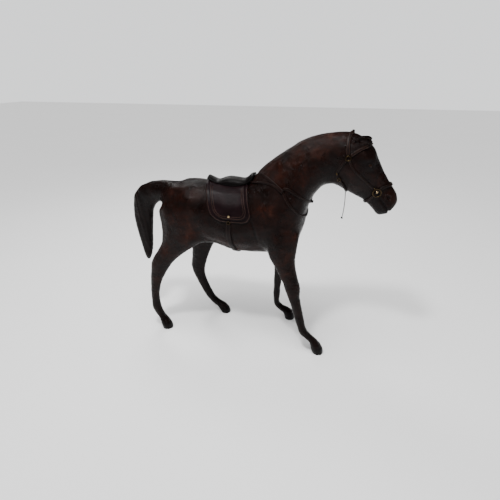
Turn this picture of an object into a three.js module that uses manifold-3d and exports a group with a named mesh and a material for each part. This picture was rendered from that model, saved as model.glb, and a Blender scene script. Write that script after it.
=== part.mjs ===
// A walking horse figure wrapped in dark brown leather, with a small saddle, girth, breast straps and bridle.
// Millimetres, +Z up. The horse faces +X, its left side is +Y, and its four soles stand on z = 0.
import * as THREE from "three";
import { mergeVertices } from "three/addons/utils/BufferGeometryUtils.js";
import Module from "manifold-3d";

const wasm = await Module();
wasm.setup();

// Driving sizes. The outlines below are drawn for a figure of drawnHeight and are scaled to figureHeight.
const figureHeight = 419;
const drawnHeight = 419;
const figureScale = figureHeight / drawnHeight;

// Leather goods. Pieces that would meet are cut back to pieceGap from each other. Straps and the pad lie a
// little above the skin, to clear its facets, and the saddle's sheets lie sheetGap apart.
const pieceGap = 0.3;
const strapLift = 1;
const padLift = 1;
const sheetGap = 0.9;
const padThickness = 1.2;
const flapThickness = 1.8;
const seatEdge = 1.6;
const girthWidth = 9;
const girthThickness = 1.4;
const collarWidth = 4.2;
const collarThickness = 1.3;
const breastStrapWidth = 4.2;
const connectorWidth = 3.2;
const tabLength = 10;
const tabWidth = 6.4;
const tabThickness = 1.5;
const bridleThickness = 1.2;
const crownWidth = 6;
const browbandWidth = 4.6;
const cheekpieceWidth = 3.4;
const nosebandWidth = 4.6;
const throatlatchWidth = 3.6;

// Brass fittings: each ring's outer radius and the radius of its wire, and each stud's radius and height.
const cheekRing = { radius: 5, wire: 1 };
const bitRing = { radius: 8, wire: 1.1 };
const girthRing = { radius: 3.6, wire: 0.7 };
const throatRing = { radius: 3.6, wire: 0.7 };
const flapStud = { radius: 2.4, height: 1.5 };
const bitStud = { radius: 2.3, height: 1.5 };
const throatStud = { radius: 2, height: 1.3 };

// Knots in the breast strap, at the middle of the chest, and in the crown strap, on the poll.
const breastKnotRadius = 2.6;
const crownKnotRadius = 2;

const eyeRadius = 4.4;
const eyeDepth = 2.4;

const laceDiameter = 1.3;
const laceLength = 46;
const laceKnotRadius = 1.9;

// Outlines. Each station is one cross-section of a limb: the two ends of the section in side view,
// a (top or front) and b (bottom or rear), the middle's distance from the centre plane y, and half width w.
// egg makes the a end wider than the b end.
const columns = ["ax", "az", "bx", "bz", "y", "w", "egg"];
const sized = 6;

const trunkStations = [
  [-173, 291, -174, 256, 0, 10],
  [-171, 306, -170, 240, 0, 31],
  [-158, 313.5, -153, 226, 0, 42],
  [-140, 318, -134, 208, 0, 49, 0.05],
  [-112, 322, -108, 198, 0, 53, 0.05],
  [-84, 321, -80, 196, 0, 51, -0.05],
  [-58, 315.5, -58, 193, 0, 50, -0.12],
  [-30, 313.5, -32, 186, 0, 52, -0.15],
  [-4, 319, -4, 184, 0, 51, -0.16],
  [11, 336, 22, 185, 0, 48, -0.22],
  [24, 352, 52, 188, 0, 46, -0.32],
  [38, 364, 79, 197, 0, 44, -0.38],
  [56, 378, 97.5, 222, 0, 41, -0.38],
  [76, 391, 106.5, 252, 0, 36, -0.34],
  [96, 404, 112, 286, 0, 31, -0.3],
  [117, 411.5, 122, 309, 0, 27.5, -0.25],
  [138, 416, 136, 325, 0, 25.5, -0.2],
  [155, 418, 149, 328.5, 0, 25.5, -0.12],
  [171, 419, 161, 325, 0, 27, -0.08],
  [187, 414.5, 173, 318.5, 0, 28, 0],
  [203.5, 406, 184, 313.5, 0, 27, 0.08],
  [216, 392, 194, 309, 0, 24.5, 0.12],
  [224, 374, 204, 304, 0, 21, 0.12],
  [233.5, 357, 212, 297.5, 0, 17.5, 0.08],
  [243.5, 342, 222, 289, 0, 16, 0],
  [252, 330, 228.5, 280.5, 0, 16.5, 0],
  [260, 318, 234.5, 277.5, 0, 16.5, 0],
  [263, 307, 243.5, 280, 0, 14, 0],
  [260.5, 297, 250, 287, 0, 7, 0],
];

const tailStations = [
  [-140, 319.5, -144, 278, 0, 20],
  [-160, 317.5, -158, 276, 0, 19],
  [-180, 315, -170, 274, 0, 17],
  [-205, 310, -185, 271, 0, 15.5],
  [-229, 300, -195, 264, 0, 14],
  [-243.5, 282, -201, 255, 0, 13],
  [-248, 260, -204, 246, 0, 12.5],
  [-249.5, 237, -206, 233, 0, 12],
  [-247, 213, -209, 211, 0, 11.5],
  [-243, 191, -211, 189, 0, 10.5],
  [-239, 171, -213.5, 169, 0, 9],
  [-236, 154, -217, 152, 0, 8],
  [-233, 142, -221, 141, 0, 5.5],
  [-230, 137, -224, 137, 0, 3],
];

const rightHindStations = [
  [-78, 282, -171, 290, -27, 21],
  [-74, 255, -176, 264, -31, 22],
  [-74, 230, -172, 238, -34, 20],
  [-82, 211, -170.5, 218, -36, 18],
  [-103, 195, -172, 201, -37.5, 15.5],
  [-124, 180, -180, 184, -39, 13.5],
  [-141, 166, -192, 166, -40, 12],
  [-154, 151, -199, 152, -41, 11],
  [-165, 135, -201, 136, -41, 10],
  [-176, 116, -203.5, 116, -41.5, 9],
  [-183, 98, -205, 97, -42, 8.2],
  [-187.5, 78, -206, 77, -42, 8],
  [-188, 62, -206, 59, -42, 8.4],
  [-186, 50, -205, 45, -42.5, 8.8],
  [-182, 37, -198, 31, -42.5, 8.4],
  [-178, 27, -188.5, 20, -42.5, 10.5],
  [-164, 12, -187, 9, -43.5, 12.5],
  [-161.5, 0, -184, 0, -44, 11.8],
];

const leftHindStations = [
  [-68, 282, -162, 290, 27, 21],
  [-62, 255, -167, 262, 31, 22],
  [-60, 230, -163, 236, 34, 20],
  [-68, 206, -157, 212, 37, 18],
  [-83, 184, -148, 190, 40, 15.5],
  [-94, 165, -143, 169, 42, 13.5],
  [-103, 146, -143, 150, 43, 12],
  [-109, 129, -145, 132, 44, 11],
  [-114, 113, -148, 114, 45, 10.5],
  [-116.5, 99, -146, 99, 45.5, 10],
  [-115, 86, -140, 84, 46, 9],
  [-110, 72, -133, 69, 46, 8.2],
  [-105, 59, -125, 54, 46, 8],
  [-99, 46, -116, 39, 46, 8.6],
  [-94, 37, -107, 27, 46.5, 8.8],
  [-83, 28, -97, 18, 46.5, 8.4],
  [-68, 19, -88, 12, 47, 10.5],
  [-60, 9, -84, 6, 47, 12.5],
  [-58, 0, -81, 0, 47, 11.8],
];

const rightForeStations = [
  [76, 314, 14, 300, -20, 16],
  [94, 280, 6, 268, -25, 20],
  [103, 248, 10, 240, -29, 20.5],
  [102, 224, 22, 220, -33, 19.5],
  [98.5, 205, 36, 203, -36, 17.5],
  [97, 188, 48, 188, -38, 15.5],
  [99.5, 170, 60, 170, -40, 13.8],
  [104, 154, 69, 154, -42, 12.4],
  [109, 140, 77, 139, -43.5, 11.6],
  [110.5, 130, 80, 128, -44.5, 11],
  [110, 117, 86, 115, -45.5, 9.6],
  [113, 102, 92, 100, -46.5, 8.6],
  [117, 85, 97.5, 82, -47.5, 7.9],
  [120.5, 70, 103, 66, -48.5, 7.8],
  [124, 55, 109, 50, -49.5, 8.2],
  [130, 44, 113, 38, -50, 8.6],
  [140, 34, 126, 29, -50, 8.2],
  [151, 25, 136, 20, -50.5, 10.4],
  [161, 12, 136, 9, -50.5, 12.8],
  [163, 0, 141, 0, -50.5, 12],
];

const leftForeStations = [
  [76, 314, 14, 300, 20, 16],
  [94, 280, 6, 268, 25, 20],
  [99, 248, 8, 240, 29, 20.5],
  [94, 224, 18, 218, 34, 19.5],
  [87, 203, 28, 200, 38, 17.5],
  [79, 184, 34, 182, 42, 15.2],
  [72, 165, 37, 163, 45, 13.4],
  [67, 147, 37, 145, 47.5, 12],
  [64, 132, 40, 130, 49.5, 11.4],
  [61, 117, 41, 115, 51, 10],
  [57.5, 98, 40, 98, 52.5, 8.4],
  [56, 80, 40, 79, 54, 7.8],
  [54.5, 63, 39, 61, 55, 7.9],
  [54, 49, 40, 46, 55.5, 8.6],
  [52.5, 39, 42, 31, 56, 8.6],
  [59, 32, 50, 22, 56, 8.2],
  [79, 23, 61, 15, 56.5, 10.4],
  [88, 12, 65, 8, 56.5, 12.8],
  [89, 0, 67, 0, 56.5, 12],
];

// The values of a station table at fractions of its length, by a smooth curve through the stations.
function stationCurve(table) {
  const rows = table.map((row) => columns.map((name, i) => (row[i] ?? 0) * (i < sized ? figureScale : 1)));
  const knots = [0];
  for (let i = 1; i < rows.length; i++) {
    const span = rows[i].slice(0, 5).map((v, k) => v - rows[i - 1][k]);
    knots.push(knots[i - 1] + Math.hypot(...span) / Math.SQRT2);
  }
  const slope = (i, k) => {
    const before = i > 0 ? (rows[i][k] - rows[i - 1][k]) / (knots[i] - knots[i - 1]) : null;
    const after = i < rows.length - 1 ? (rows[i + 1][k] - rows[i][k]) / (knots[i + 1] - knots[i]) : null;
    if (before === null) return after;
    if (after === null) return before;
    const left = knots[i] - knots[i - 1];
    const right = knots[i + 1] - knots[i];
    return (before * right + after * left) / (left + right);
  };
  const at = (distance) => {
    let i = 0;
    while (i < rows.length - 2 && distance > knots[i + 1]) i++;
    const span = knots[i + 1] - knots[i];
    const t = (distance - knots[i]) / span;
    const value = (k) =>
      (2 * t ** 3 - 3 * t ** 2 + 1) * rows[i][k] +
      (t ** 3 - 2 * t ** 2 + t) * span * slope(i, k) +
      (3 * t ** 2 - 2 * t ** 3) * rows[i + 1][k] +
      (t ** 3 - t ** 2) * span * slope(i + 1, k);
    return Object.fromEntries(columns.map((name, k) => [name, value(k)]));
  };
  return { at, length: knots.at(-1), knots };
}

// A closed solid geometry lofted through a station table, with rings about step apart.
function loft(table, sides, step) {
  const curve = stationCurve(table);
  const positions = [];
  const rings = [];
  for (let i = 1; i < curve.knots.length; i++) {
    const span = curve.knots[i] - curve.knots[i - 1];
    const count = Math.max(1, Math.round(span / step));
    for (let k = 0; k < count; k++) rings.push(curve.knots[i - 1] + (span * k) / count);
  }
  rings.push(curve.length);
  const middle = [];
  for (const distance of rings) {
    const s = curve.at(distance);
    const centre = [(s.ax + s.bx) / 2, s.y, (s.az + s.bz) / 2];
    middle.push(centre);
    for (let k = 0; k < sides; k++) {
      const angle = (2 * Math.PI * (k + 0.5)) / sides;
      const along = Math.cos(angle);
      const across = Math.sin(angle);
      positions.push(
        centre[0] + ((s.ax - s.bx) / 2) * along,
        centre[1] + s.w * across * (1 + s.egg * along),
        centre[2] + ((s.az - s.bz) / 2) * along,
      );
    }
  }
  const first = positions.length / 3;
  positions.push(...middle[0], ...middle.at(-1));
  const index = [];
  for (let r = 0; r < rings.length - 1; r++) {
    for (let k = 0; k < sides; k++) {
      const [p, q] = [r * sides + k, r * sides + ((k + 1) % sides)];
      index.push(p, p + sides, q, q, p + sides, q + sides);
    }
  }
  const last = (rings.length - 1) * sides;
  for (let k = 0; k < sides; k++) {
    index.push(first, k, (k + 1) % sides);
    index.push(first + 1, last + ((k + 1) % sides), last + k);
  }
  const geometry = new THREE.BufferGeometry();
  geometry.setAttribute("position", new THREE.Float32BufferAttribute(positions, 3));
  geometry.setIndex(index);
  return geometry;
}

// A geometry as a manifold-3d solid, turned inside out if its faces point inwards.
function solidFrom(geometry) {
  const bare = new THREE.BufferGeometry();
  bare.setAttribute("position", geometry.getAttribute("position"));
  bare.setIndex(geometry.index);
  const merged = mergeVertices(bare, 1e-4);
  const vertProperties = new Float32Array(merged.attributes.position.array);
  const triVerts = new Uint32Array(merged.index.array);
  const made = new wasm.Manifold(new wasm.Mesh({ numProp: 3, vertProperties, triVerts }));
  if (made.volume() > 0) return made;
  triVerts.reverse();
  return new wasm.Manifold(new wasm.Mesh({ numProp: 3, vertProperties, triVerts }));
}

function geometryFrom(solid) {
  const mesh = solid.getMesh();
  const positions = new Float32Array(mesh.numVert * 3);
  for (let i = 0; i < mesh.numVert; i++) {
    positions.set(mesh.vertProperties.subarray(i * mesh.numProp, i * mesh.numProp + 3), i * 3);
  }
  const geometry = new THREE.BufferGeometry();
  geometry.setAttribute("position", new THREE.BufferAttribute(positions, 3));
  geometry.setIndex(new THREE.BufferAttribute(mesh.triVerts, 1));
  return geometry;
}

// A closed solid geometry made of rings of points, each ring with the same number of points.
function skinned(rings) {
  const sides = rings[0].length;
  const positions = rings.flat().flatMap((p) => [p.x, p.y, p.z]);
  const index = [];
  for (let r = 0; r < rings.length - 1; r++) {
    for (let k = 0; k < sides; k++) {
      const p = r * sides + k;
      const q = r * sides + ((k + 1) % sides);
      index.push(p, p + sides, q, q, p + sides, q + sides);
    }
  }
  for (const [ring, from, turn] of [[rings[0], 0, 1], [rings.at(-1), (rings.length - 1) * sides, -1]]) {
    const middle = ring.reduce((sum, p) => sum.add(p), new THREE.Vector3()).divideScalar(sides);
    const centre = positions.length / 3;
    positions.push(middle.x, middle.y, middle.z);
    for (let k = 0; k < sides; k++) {
      const pair = [from + k, from + ((k + 1) % sides)];
      index.push(centre, ...(turn > 0 ? pair : pair.reverse()));
    }
  }
  const geometry = new THREE.BufferGeometry();
  geometry.setAttribute("position", new THREE.Float32BufferAttribute(positions, 3));
  geometry.setIndex(index);
  return geometry;
}

// A closed band of rings that joins its own start, such as a strap that goes all the way round.
function skinnedLoop(rings) {
  const sides = rings[0].length;
  const positions = rings.flat().flatMap((p) => [p.x, p.y, p.z]);
  const index = [];
  for (let r = 0; r < rings.length; r++) {
    const next = ((r + 1) % rings.length) * sides;
    for (let k = 0; k < sides; k++) {
      const p = r * sides + k;
      const q = r * sides + ((k + 1) % sides);
      const [u, v] = [next + k, next + ((k + 1) % sides)];
      index.push(p, u, q, q, u, v);
    }
  }
  const geometry = new THREE.BufferGeometry();
  geometry.setAttribute("position", new THREE.Float32BufferAttribute(positions, 3));
  geometry.setIndex(index);
  return geometry;
}

const limbs = [
  loft(trunkStations, 16, 12),
  loft(tailStations, 10, 15),
  loft(rightHindStations, 10, 15),
  loft(leftHindStations, 10, 15),
  loft(rightForeStations, 10, 15),
  loft(leftForeStations, 10, 15),
].map(solidFrom);

// Each ear is a leaf that leans forwards and outwards: share of its length, half height and half thickness.
const earStations = [
  [-0.12, 3.6, 2.8],
  [0.12, 5, 3.4],
  [0.38, 5.5, 3.3],
  [0.64, 5.1, 3],
  [0.86, 3.9, 2.4],
  [1, 1.9, 1.3],
];
const earRoot = new THREE.Vector3(183, 12, 405.5);
const earTip = new THREE.Vector3(210, 18, 405.5);
const earHollow = { length: 17, height: 6.4, depth: 1.8, share: 0.46, outward: 2.9 };

function ear(side) {
  const mirror = new THREE.Vector3(1, side, 1);
  const root = earRoot.clone().multiply(mirror).multiplyScalar(figureScale);
  const tip = earTip.clone().multiply(mirror).multiplyScalar(figureScale);
  const along = tip.clone().sub(root);
  const outward = new THREE.Vector3(-0.1, side * 0.92, 0.3).normalize();
  const upward = new THREE.Vector3().crossVectors(along, outward).normalize();
  const rings = earStations.map(([share, halfHeight, halfThickness]) => {
    const centre = root.clone().addScaledVector(along, share);
    return Array.from({ length: 10 }, (_, k) => {
      const angle = (2 * Math.PI * k) / 10;
      return centre
        .clone()
        .addScaledVector(upward, halfHeight * figureScale * Math.cos(angle))
        .addScaledVector(outward, halfThickness * figureScale * Math.sin(angle));
    });
  });
  const hollowCentre = root
    .clone()
    .addScaledVector(along, earHollow.share)
    .addScaledVector(outward, earHollow.outward * figureScale);
  const halves = [earHollow.length / 2, earHollow.height / 2, earHollow.depth].map((v) => v * figureScale);
  const frame = new THREE.Matrix4().makeBasis(along.clone().normalize(), upward, outward);
  const hollow = ball(1, 10, 6).scale(...halves).applyMatrix4(frame.setPosition(hollowCentre));
  return { leaf: solidFrom(skinned(rings)), hollow: solidFrom(hollow) };
}

function ball(radius, around, down) {
  return new THREE.SphereGeometry(radius, around, down);
}

// Welds a union, takes out the short edges along its seams and rounds the seams into soft folds.
const seamReach = 16 * figureScale;
const shortEdge = 2.6 * figureScale;
const roundingPasses = 10;

function relaxed(solid, originals) {
  const mesh = geometryFrom(solid);
  const points = [];
  for (let i = 0; i < mesh.attributes.position.count; i++) {
    points.push(new THREE.Vector3().fromBufferAttribute(mesh.attributes.position, i));
  }
  let faces = [];
  for (let i = 0; i < mesh.index.count; i += 3) {
    faces.push([mesh.index.getX(i), mesh.index.getX(i + 1), mesh.index.getX(i + 2)]);
  }
  const key = (p) => `${p.x.toFixed(2)} ${p.y.toFixed(2)} ${p.z.toFixed(2)}`;
  const known = new Set();
  for (const original of originals) {
    const corner = geometryFrom(original).attributes.position;
    for (let i = 0; i < corner.count; i++) known.add(key(new THREE.Vector3().fromBufferAttribute(corner, i)));
  }
  const onSeam = points.map((p) => !known.has(key(p)));
  faces = withoutShortEdges(points, faces, onSeam);

  const neighbours = points.map(() => new Set());
  for (const [a, b, c] of faces) {
    neighbours[a].add(b).add(c);
    neighbours[b].add(a).add(c);
    neighbours[c].add(a).add(b);
  }
  const far = points.map((_, i) => (onSeam[i] && neighbours[i].size ? 0 : Infinity));
  for (let pass = 0; pass < 6; pass++) {
    for (let i = 0; i < points.length; i++) {
      for (const j of neighbours[i]) far[i] = Math.min(far[i], far[j] + points[i].distanceTo(points[j]));
    }
  }
  const weight = far.map((d, i) => {
    if (points[i].z < 1e-3) return 0;
    const t = Math.min(d / seamReach, 1);
    return 1 - t * t * (3 - 2 * t);
  });
  for (let pass = 0; pass < roundingPasses; pass++) {
    const moved = points.map((p, i) => {
      if (!(weight[i] > 0) || !neighbours[i].size) return p;
      const mean = new THREE.Vector3();
      for (const j of neighbours[i]) mean.add(points[j]);
      return p.clone().lerp(mean.divideScalar(neighbours[i].size), 0.6 * weight[i]);
    });
    moved.forEach((p, i) => points[i].copy(p));
  }
  return bareGeometry(points, faces);
}

// Edges shorter than shortEdge that touch a seam are closed up, where that leaves the surface whole.
function withoutShortEdges(points, faces, onSeam) {
  let list = faces;
  for (let pass = 0; pass < 8; pass++) {
    const around = points.map(() => []);
    list.forEach((face, f) => face.forEach((v) => around[v].push(f)));
    const touched = new Set();
    const target = new Map();
    for (const face of list) {
      for (let k = 0; k < 3; k++) {
        const a = face[k];
        const b = face[(k + 1) % 3];
        if (!(onSeam[a] || onSeam[b]) || touched.has(a) || touched.has(b)) continue;
        if (points[a].distanceTo(points[b]) > shortEdge) continue;
        const ringA = new Set(around[a].flatMap((f) => list[f]));
        const ringB = new Set(around[b].flatMap((f) => list[f]));
        const shared = [...ringA].filter((v) => v !== a && v !== b && ringB.has(v));
        if (shared.length !== 2) continue;
        const [keep, drop] = onSeam[a] && !onSeam[b] ? [b, a] : [a, b];
        const place = onSeam[keep] ? points[a].clone().lerp(points[b], 0.5) : points[keep].clone();
        const flips = [...new Set([...around[a], ...around[b]])].some((f) => {
          const corners = list[f];
          if (corners.includes(a) && corners.includes(b)) return false;
          const before = faceNormal(corners.map((v) => points[v]));
          const after = faceNormal(corners.map((v) => (v === a || v === b ? place : points[v])));
          return before.lengthSq() > 1e-6 && before.normalize().dot(after.normalize()) < 0.3;
        });
        if (flips) continue;
        points[keep].copy(place);
        target.set(drop, keep);
        for (const v of [...ringA, ...ringB]) touched.add(v);
      }
    }
    if (!target.size) break;
    list = list
      .map((face) => face.map((v) => target.get(v) ?? v))
      .filter(([a, b, c]) => a !== b && b !== c && a !== c);
  }
  return list;
}

function faceNormal([a, b, c]) {
  return new THREE.Vector3().crossVectors(b.clone().sub(a), c.clone().sub(a));
}

function bareGeometry(points, faces) {
  const used = [...new Set(faces.flat())];
  const place = new Map(used.map((v, i) => [v, i]));
  const geometry = new THREE.BufferGeometry();
  const flat = used.flatMap((v) => [points[v].x, points[v].y, points[v].z]);
  geometry.setAttribute("position", new THREE.Float32BufferAttribute(flat, 3));
  geometry.setIndex(faces.flat().map((v) => place.get(v)));
  return geometry;
}

// Muscles and hollows: where each is centred, its reach along x, y and z, and how far it swells the skin out.
const swells = [
  [[-118, -48, 262], [34, 30, 34], 2.2],
  [[-118, 48, 262], [34, 30, 34], 2.2],
  [[-70, -48, 268], [20, 24, 40], -2.2],
  [[-70, 48, 268], [20, 24, 40], -2.2],
  [[-92, -44, 212], [18, 20, 16], 2],
  [[-92, 44, 212], [18, 20, 16], 2],
  [[48, -42, 268], [20, 24, 34], 2.2],
  [[48, 42, 268], [20, 24, 34], 2.2],
  [[84, -36, 262], [16, 24, 24], 1.6],
  [[84, 36, 262], [16, 24, 24], 1.6],
  [[66, -40, 222], [16, 20, 16], 1.8],
  [[66, 40, 222], [16, 20, 16], 1.8],
  [[110, 0, 262], [20, 9, 34], -2.5],
  [[150, -25, 366], [13, 16, 26], -3.2],
  [[150, 25, 366], [13, 16, 26], -3.2],
  [[186, -27, 350], [20, 12, 20], 3],
  [[186, 27, 350], [20, 12, 20], 3],
  [[203, -22, 386], [11, 9, 8], 2.6],
  [[203, 22, 386], [11, 9, 8], 2.6],
  [[211, -23, 368], [8, 8, 8], -1.4],
  [[211, 23, 368], [8, 8, 8], -1.4],
  [[222, -20, 345], [14, 9, 9], 1.2],
  [[222, 20, 345], [14, 9, 9], 1.2],
  [[232, -17, 318], [12, 8, 12], -1.6],
  [[232, 17, 318], [12, 8, 12], -1.6],
  [[250, -15, 310], [9, 8, 10], 2],
  [[250, 15, 310], [9, 8, 10], 2],
];

function swell(geometry) {
  geometry.computeVertexNormals();
  const position = geometry.attributes.position;
  const normal = geometry.attributes.normal;
  for (let i = 0; i < position.count; i++) {
    const p = new THREE.Vector3().fromBufferAttribute(position, i);
    if (p.z < 1e-3) continue;
    let push = 0;
    for (const [centre, reach, amount] of swells) {
      const [dx, dy, dz] = [p.x, p.y, p.z].map((v, k) => (v / figureScale - centre[k]) / reach[k]);
      push += amount * figureScale * Math.exp(-(dx * dx + dy * dy + dz * dz));
    }
    p.addScaledVector(new THREE.Vector3().fromBufferAttribute(normal, i), push);
    position.setXYZ(i, p.x, p.y, p.z);
  }
  return geometry;
}

const ears = [ear(-1), ear(1)];
const limbUnion = limbs.reduce((whole, limb) => whole.add(limb));
let figure = solidFrom(swell(relaxed(limbUnion, limbs)));
for (const { leaf } of ears) figure = figure.add(leaf);
for (const { hollow } of ears) figure = figure.subtract(hollow);

// The skin without eyes, nostrils and mouth is what the straps and the saddle lie on.
const skin = figure;
const skinMesh = new THREE.Mesh(geometryFrom(skin));
skinMesh.geometry.computeVertexNormals();
skinMesh.material.side = THREE.DoubleSide;
const skinFaces = [];
{
  const { position, normal } = skinMesh.geometry.attributes;
  const index = skinMesh.geometry.index;
  for (let i = 0; i < index.count; i += 3) {
    const ids = [index.getX(i), index.getX(i + 1), index.getX(i + 2)];
    const corners = ids.map((v) => new THREE.Vector3().fromBufferAttribute(position, v));
    const normals = ids.map((v) => new THREE.Vector3().fromBufferAttribute(normal, v));
    const centre = corners[0].clone().add(corners[1]).add(corners[2]).divideScalar(3);
    const reach = Math.max(...corners.map((p) => p.distanceTo(centre)));
    skinFaces.push({ triangle: new THREE.Triangle(...corners), normals, centre, reach });
  }
}

// The nearest point of the skin to a point, with the skin's rounded normal there.
function nearestOnSkin(point) {
  let best = Infinity;
  let found = null;
  const near = new THREE.Vector3();
  for (const face of skinFaces) {
    if (face.centre.distanceTo(point) - face.reach > best) continue;
    face.triangle.closestPointToPoint(point, near);
    const distance = near.distanceTo(point);
    if (distance < best) {
      best = distance;
      found = { face, point: near.clone() };
    }
  }
  const share = found.face.triangle.getBarycoord(found.point, new THREE.Vector3());
  const normal = new THREE.Vector3();
  [share.x, share.y, share.z].forEach((s, k) => normal.addScaledVector(found.face.normals[k], s));
  return { point: found.point, normal: normal.normalize() };
}

// How far the skin lies from the body's axis, in a direction across the body. The furthest of a few
// directions near that one counts, as a stretched sheet rides over the skin's ridges.
const caster = new THREE.Raycaster();
const backAxisHeight = 255 * figureScale;
const sheetTurns = [-0.12, -0.06, 0, 0.06, 0.12];
const sheetSlide = 4 * figureScale;
function sheetRadius(x, angle) {
  const at = (slide, turn) => {
    const direction = new THREE.Vector3(0, Math.sin(angle + turn), Math.cos(angle + turn));
    caster.set(new THREE.Vector3(x + slide, 0, backAxisHeight), direction);
    return caster.intersectObject(skinMesh)[0].distance * Math.cos(turn);
  };
  const level = Math.max(...sheetTurns.map((turn) => at(0, turn)));
  return Math.max(level, (at(-sheetSlide, 0) + at(sheetSlide, 0)) / 2);
}

const onFigure = ([x, y, z]) => new THREE.Vector3(x, y, z).multiplyScalar(figureScale);
const mirrored = (rows) => rows.map(([x, y, z]) => [x, -y, z]);

// The centre line of a strap: a smooth line near the given points, laid on the skin in even steps.
function laidOnSkin(rows, step, closed = false) {
  const line = new THREE.CatmullRomCurve3(rows.map(onFigure), closed, "centripetal");
  const count = Math.max(2, Math.round(line.getLength() / step));
  const raw = line.getSpacedPoints(count);
  if (closed) raw.pop();
  return raw.map(nearestOnSkin);
}

// Cuts a line short by a distance from a point at its start or end, such as a ring that the strap is tied to.
const shortestStep = 1.5;
function shortened(stops, centre, radius, atEnd) {
  const order = atEnd ? [...stops].reverse() : stops;
  let i = 0;
  while (order[i + 1] && order[i + 1].point.distanceTo(centre) < radius) i++;
  const [a, b] = [order[i], order[i + 1]];
  const [da, db] = [a.point.distanceTo(centre), b.point.distanceTo(centre)];
  const t = THREE.MathUtils.clamp((radius - da) / (db - da), 0, 1);
  const start = nearestOnSkin(a.point.clone().lerp(b.point, t));
  const rest = order.slice(i + 1);
  if (rest[0].point.distanceTo(start.point) < shortestStep) rest.shift();
  const line = [start, ...rest];
  return atEnd ? line.reverse() : line;
}

// A flat strap on the skin. grow makes it larger on every side, for cutting clearances.
function strap(stops, { width, thickness, lift = strapLift, closed = false }, grow = 0) {
  const rings = stops.map((stop, i) => {
    const last = stops.length - 1;
    const before = stops[closed ? (i + last) % stops.length : Math.max(i - 1, 0)];
    const after = stops[closed ? (i + 1) % stops.length : Math.min(i + 1, last)];
    const tangent = after.point.clone().sub(before.point).normalize();
    const across = new THREE.Vector3().crossVectors(tangent, stop.normal).normalize();
    const slide = closed ? 0 : i === 0 ? -grow : i === last ? grow : 0;
    const edge = (side) => nearestOnSkin(
      stop.point
        .clone()
        .addScaledVector(across, side * (width / 2 + grow))
        .addScaledVector(tangent, slide),
    );
    const edges = [-1, 1].map(edge);
    const low = edges.map((e) => e.point.clone().addScaledVector(stop.normal, lift - grow));
    const high = edges.map((e) => e.point.clone().addScaledVector(stop.normal, lift + thickness + grow));
    return [...low, ...high.reverse()];
  });
  return solidFrom(closed ? skinnedLoop(rings) : skinned(rings));
}

// A sheet draped over the back. shape(s, t) gives where it lies, as the x, the angle from upright, the lift
// and the height. s runs from its rear to its front edge, and t from its right lower edge to its left one.
function drape(shape, lengthSteps, widthSteps, grow = 0) {
  const place = (s, t) => {
    const { x, angle, lift, height } = shape(s, t);
    const origin = new THREE.Vector3(x, 0, backAxisHeight);
    const direction = new THREE.Vector3(0, Math.sin(angle), Math.cos(angle));
    const reach = sheetRadius(x, angle);
    return {
      low: origin.clone().addScaledVector(direction, reach + lift - grow),
      high: origin.clone().addScaledVector(direction, reach + lift + height + grow),
    };
  };
  const rings = [];
  for (let j = 0; j <= widthSteps; j++) {
    const row = [];
    for (let i = 0; i <= lengthSteps; i++) {
      const s = (i / lengthSteps - 0.5) * (1 + grow / 40) + 0.5;
      const t = ((2 * j) / widthSteps - 1) * (1 + grow / 80);
      row.push(place(s, t));
    }
    rings.push([...row.map((r) => r.low), ...row.map((r) => r.high).reverse()]);
  }
  return solidFrom(sheetSolid(rings, lengthSteps + 1));
}

// As skinned, but the two end rings are closed by strips between their low and high rows.
function sheetSolid(rings, columns) {
  const sides = rings[0].length;
  const positions = rings.flat().flatMap((p) => [p.x, p.y, p.z]);
  const index = [];
  for (let r = 0; r < rings.length - 1; r++) {
    for (let k = 0; k < sides; k++) {
      const p = r * sides + k;
      const q = r * sides + ((k + 1) % sides);
      index.push(p, p + sides, q, q, p + sides, q + sides);
    }
  }
  for (let k = 0; k < columns - 1; k++) {
    const opposite = sides - 1 - k;
    const last = (rings.length - 1) * sides;
    index.push(k, k + 1, opposite, opposite, k + 1, opposite - 1);
    index.push(last + k, last + opposite, last + k + 1, last + k + 1, last + opposite, last + opposite - 1);
  }
  const geometry = new THREE.BufferGeometry();
  geometry.setAttribute("position", new THREE.Float32BufferAttribute(positions, 3));
  geometry.setIndex(index);
  return geometry;
}

// The saddle. Its pad and flaps are sheets over the back whose sides slope forwards as they go down.
const padOutline = { rear: -82, front: -2, slope: 21, drop: 88, corner: 22 };
const flapOutline = { rear: -75, front: -8, slope: 20, drop: 82, corner: 20 };
const padTop = padLift + padThickness + pieceGap;
const flapLift = padLift + padThickness + sheetGap;
const seatLift = flapLift + flapThickness + sheetGap;

function flapShape(outline, lift, height) {
  return (s, t) => {
    const side = Math.abs(t);
    const arc = outline.drop * 0.95 * figureScale;
    const fromEdge = Math.max(1 - side, 0) * arc;
    const corner = outline.corner * figureScale;
    const inset = fromEdge < corner ? corner - Math.sqrt(corner ** 2 - (corner - fromEdge) ** 2) : 0;
    const rear = outline.rear * figureScale + inset;
    const front = outline.front * figureScale - inset;
    const slope = outline.slope * figureScale * side ** 1.3;
    return {
      x: rear + (front - rear) * s + slope,
      angle: Math.sign(t) * side * THREE.MathUtils.degToRad(outline.drop),
      lift,
      height,
    };
  };
}

// The seat's height over the flaps along its length, from the cantle's tip to the pommel and its front edge.
const seatStart = -81;
const seatEnd = 9;
const seatSpread = 15;
const seatHeights = [
  [0, 7], [0.1, 4.4], [0.21, 2], [0.29, 5.4], [0.37, 9.8],
  [0.48, 13], [0.64, 11.6], [0.8, 7], [0.93, 8.4], [1, 4.4],
];

function seatHeight(s) {
  let i = 0;
  while (i < seatHeights.length - 2 && s > seatHeights[i + 1][0]) i++;
  const [[s0, h0], [s1, h1]] = [seatHeights[i], seatHeights[i + 1]];
  return THREE.MathUtils.mapLinear(s, s0, s1, h0, h1) * figureScale;
}

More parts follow.
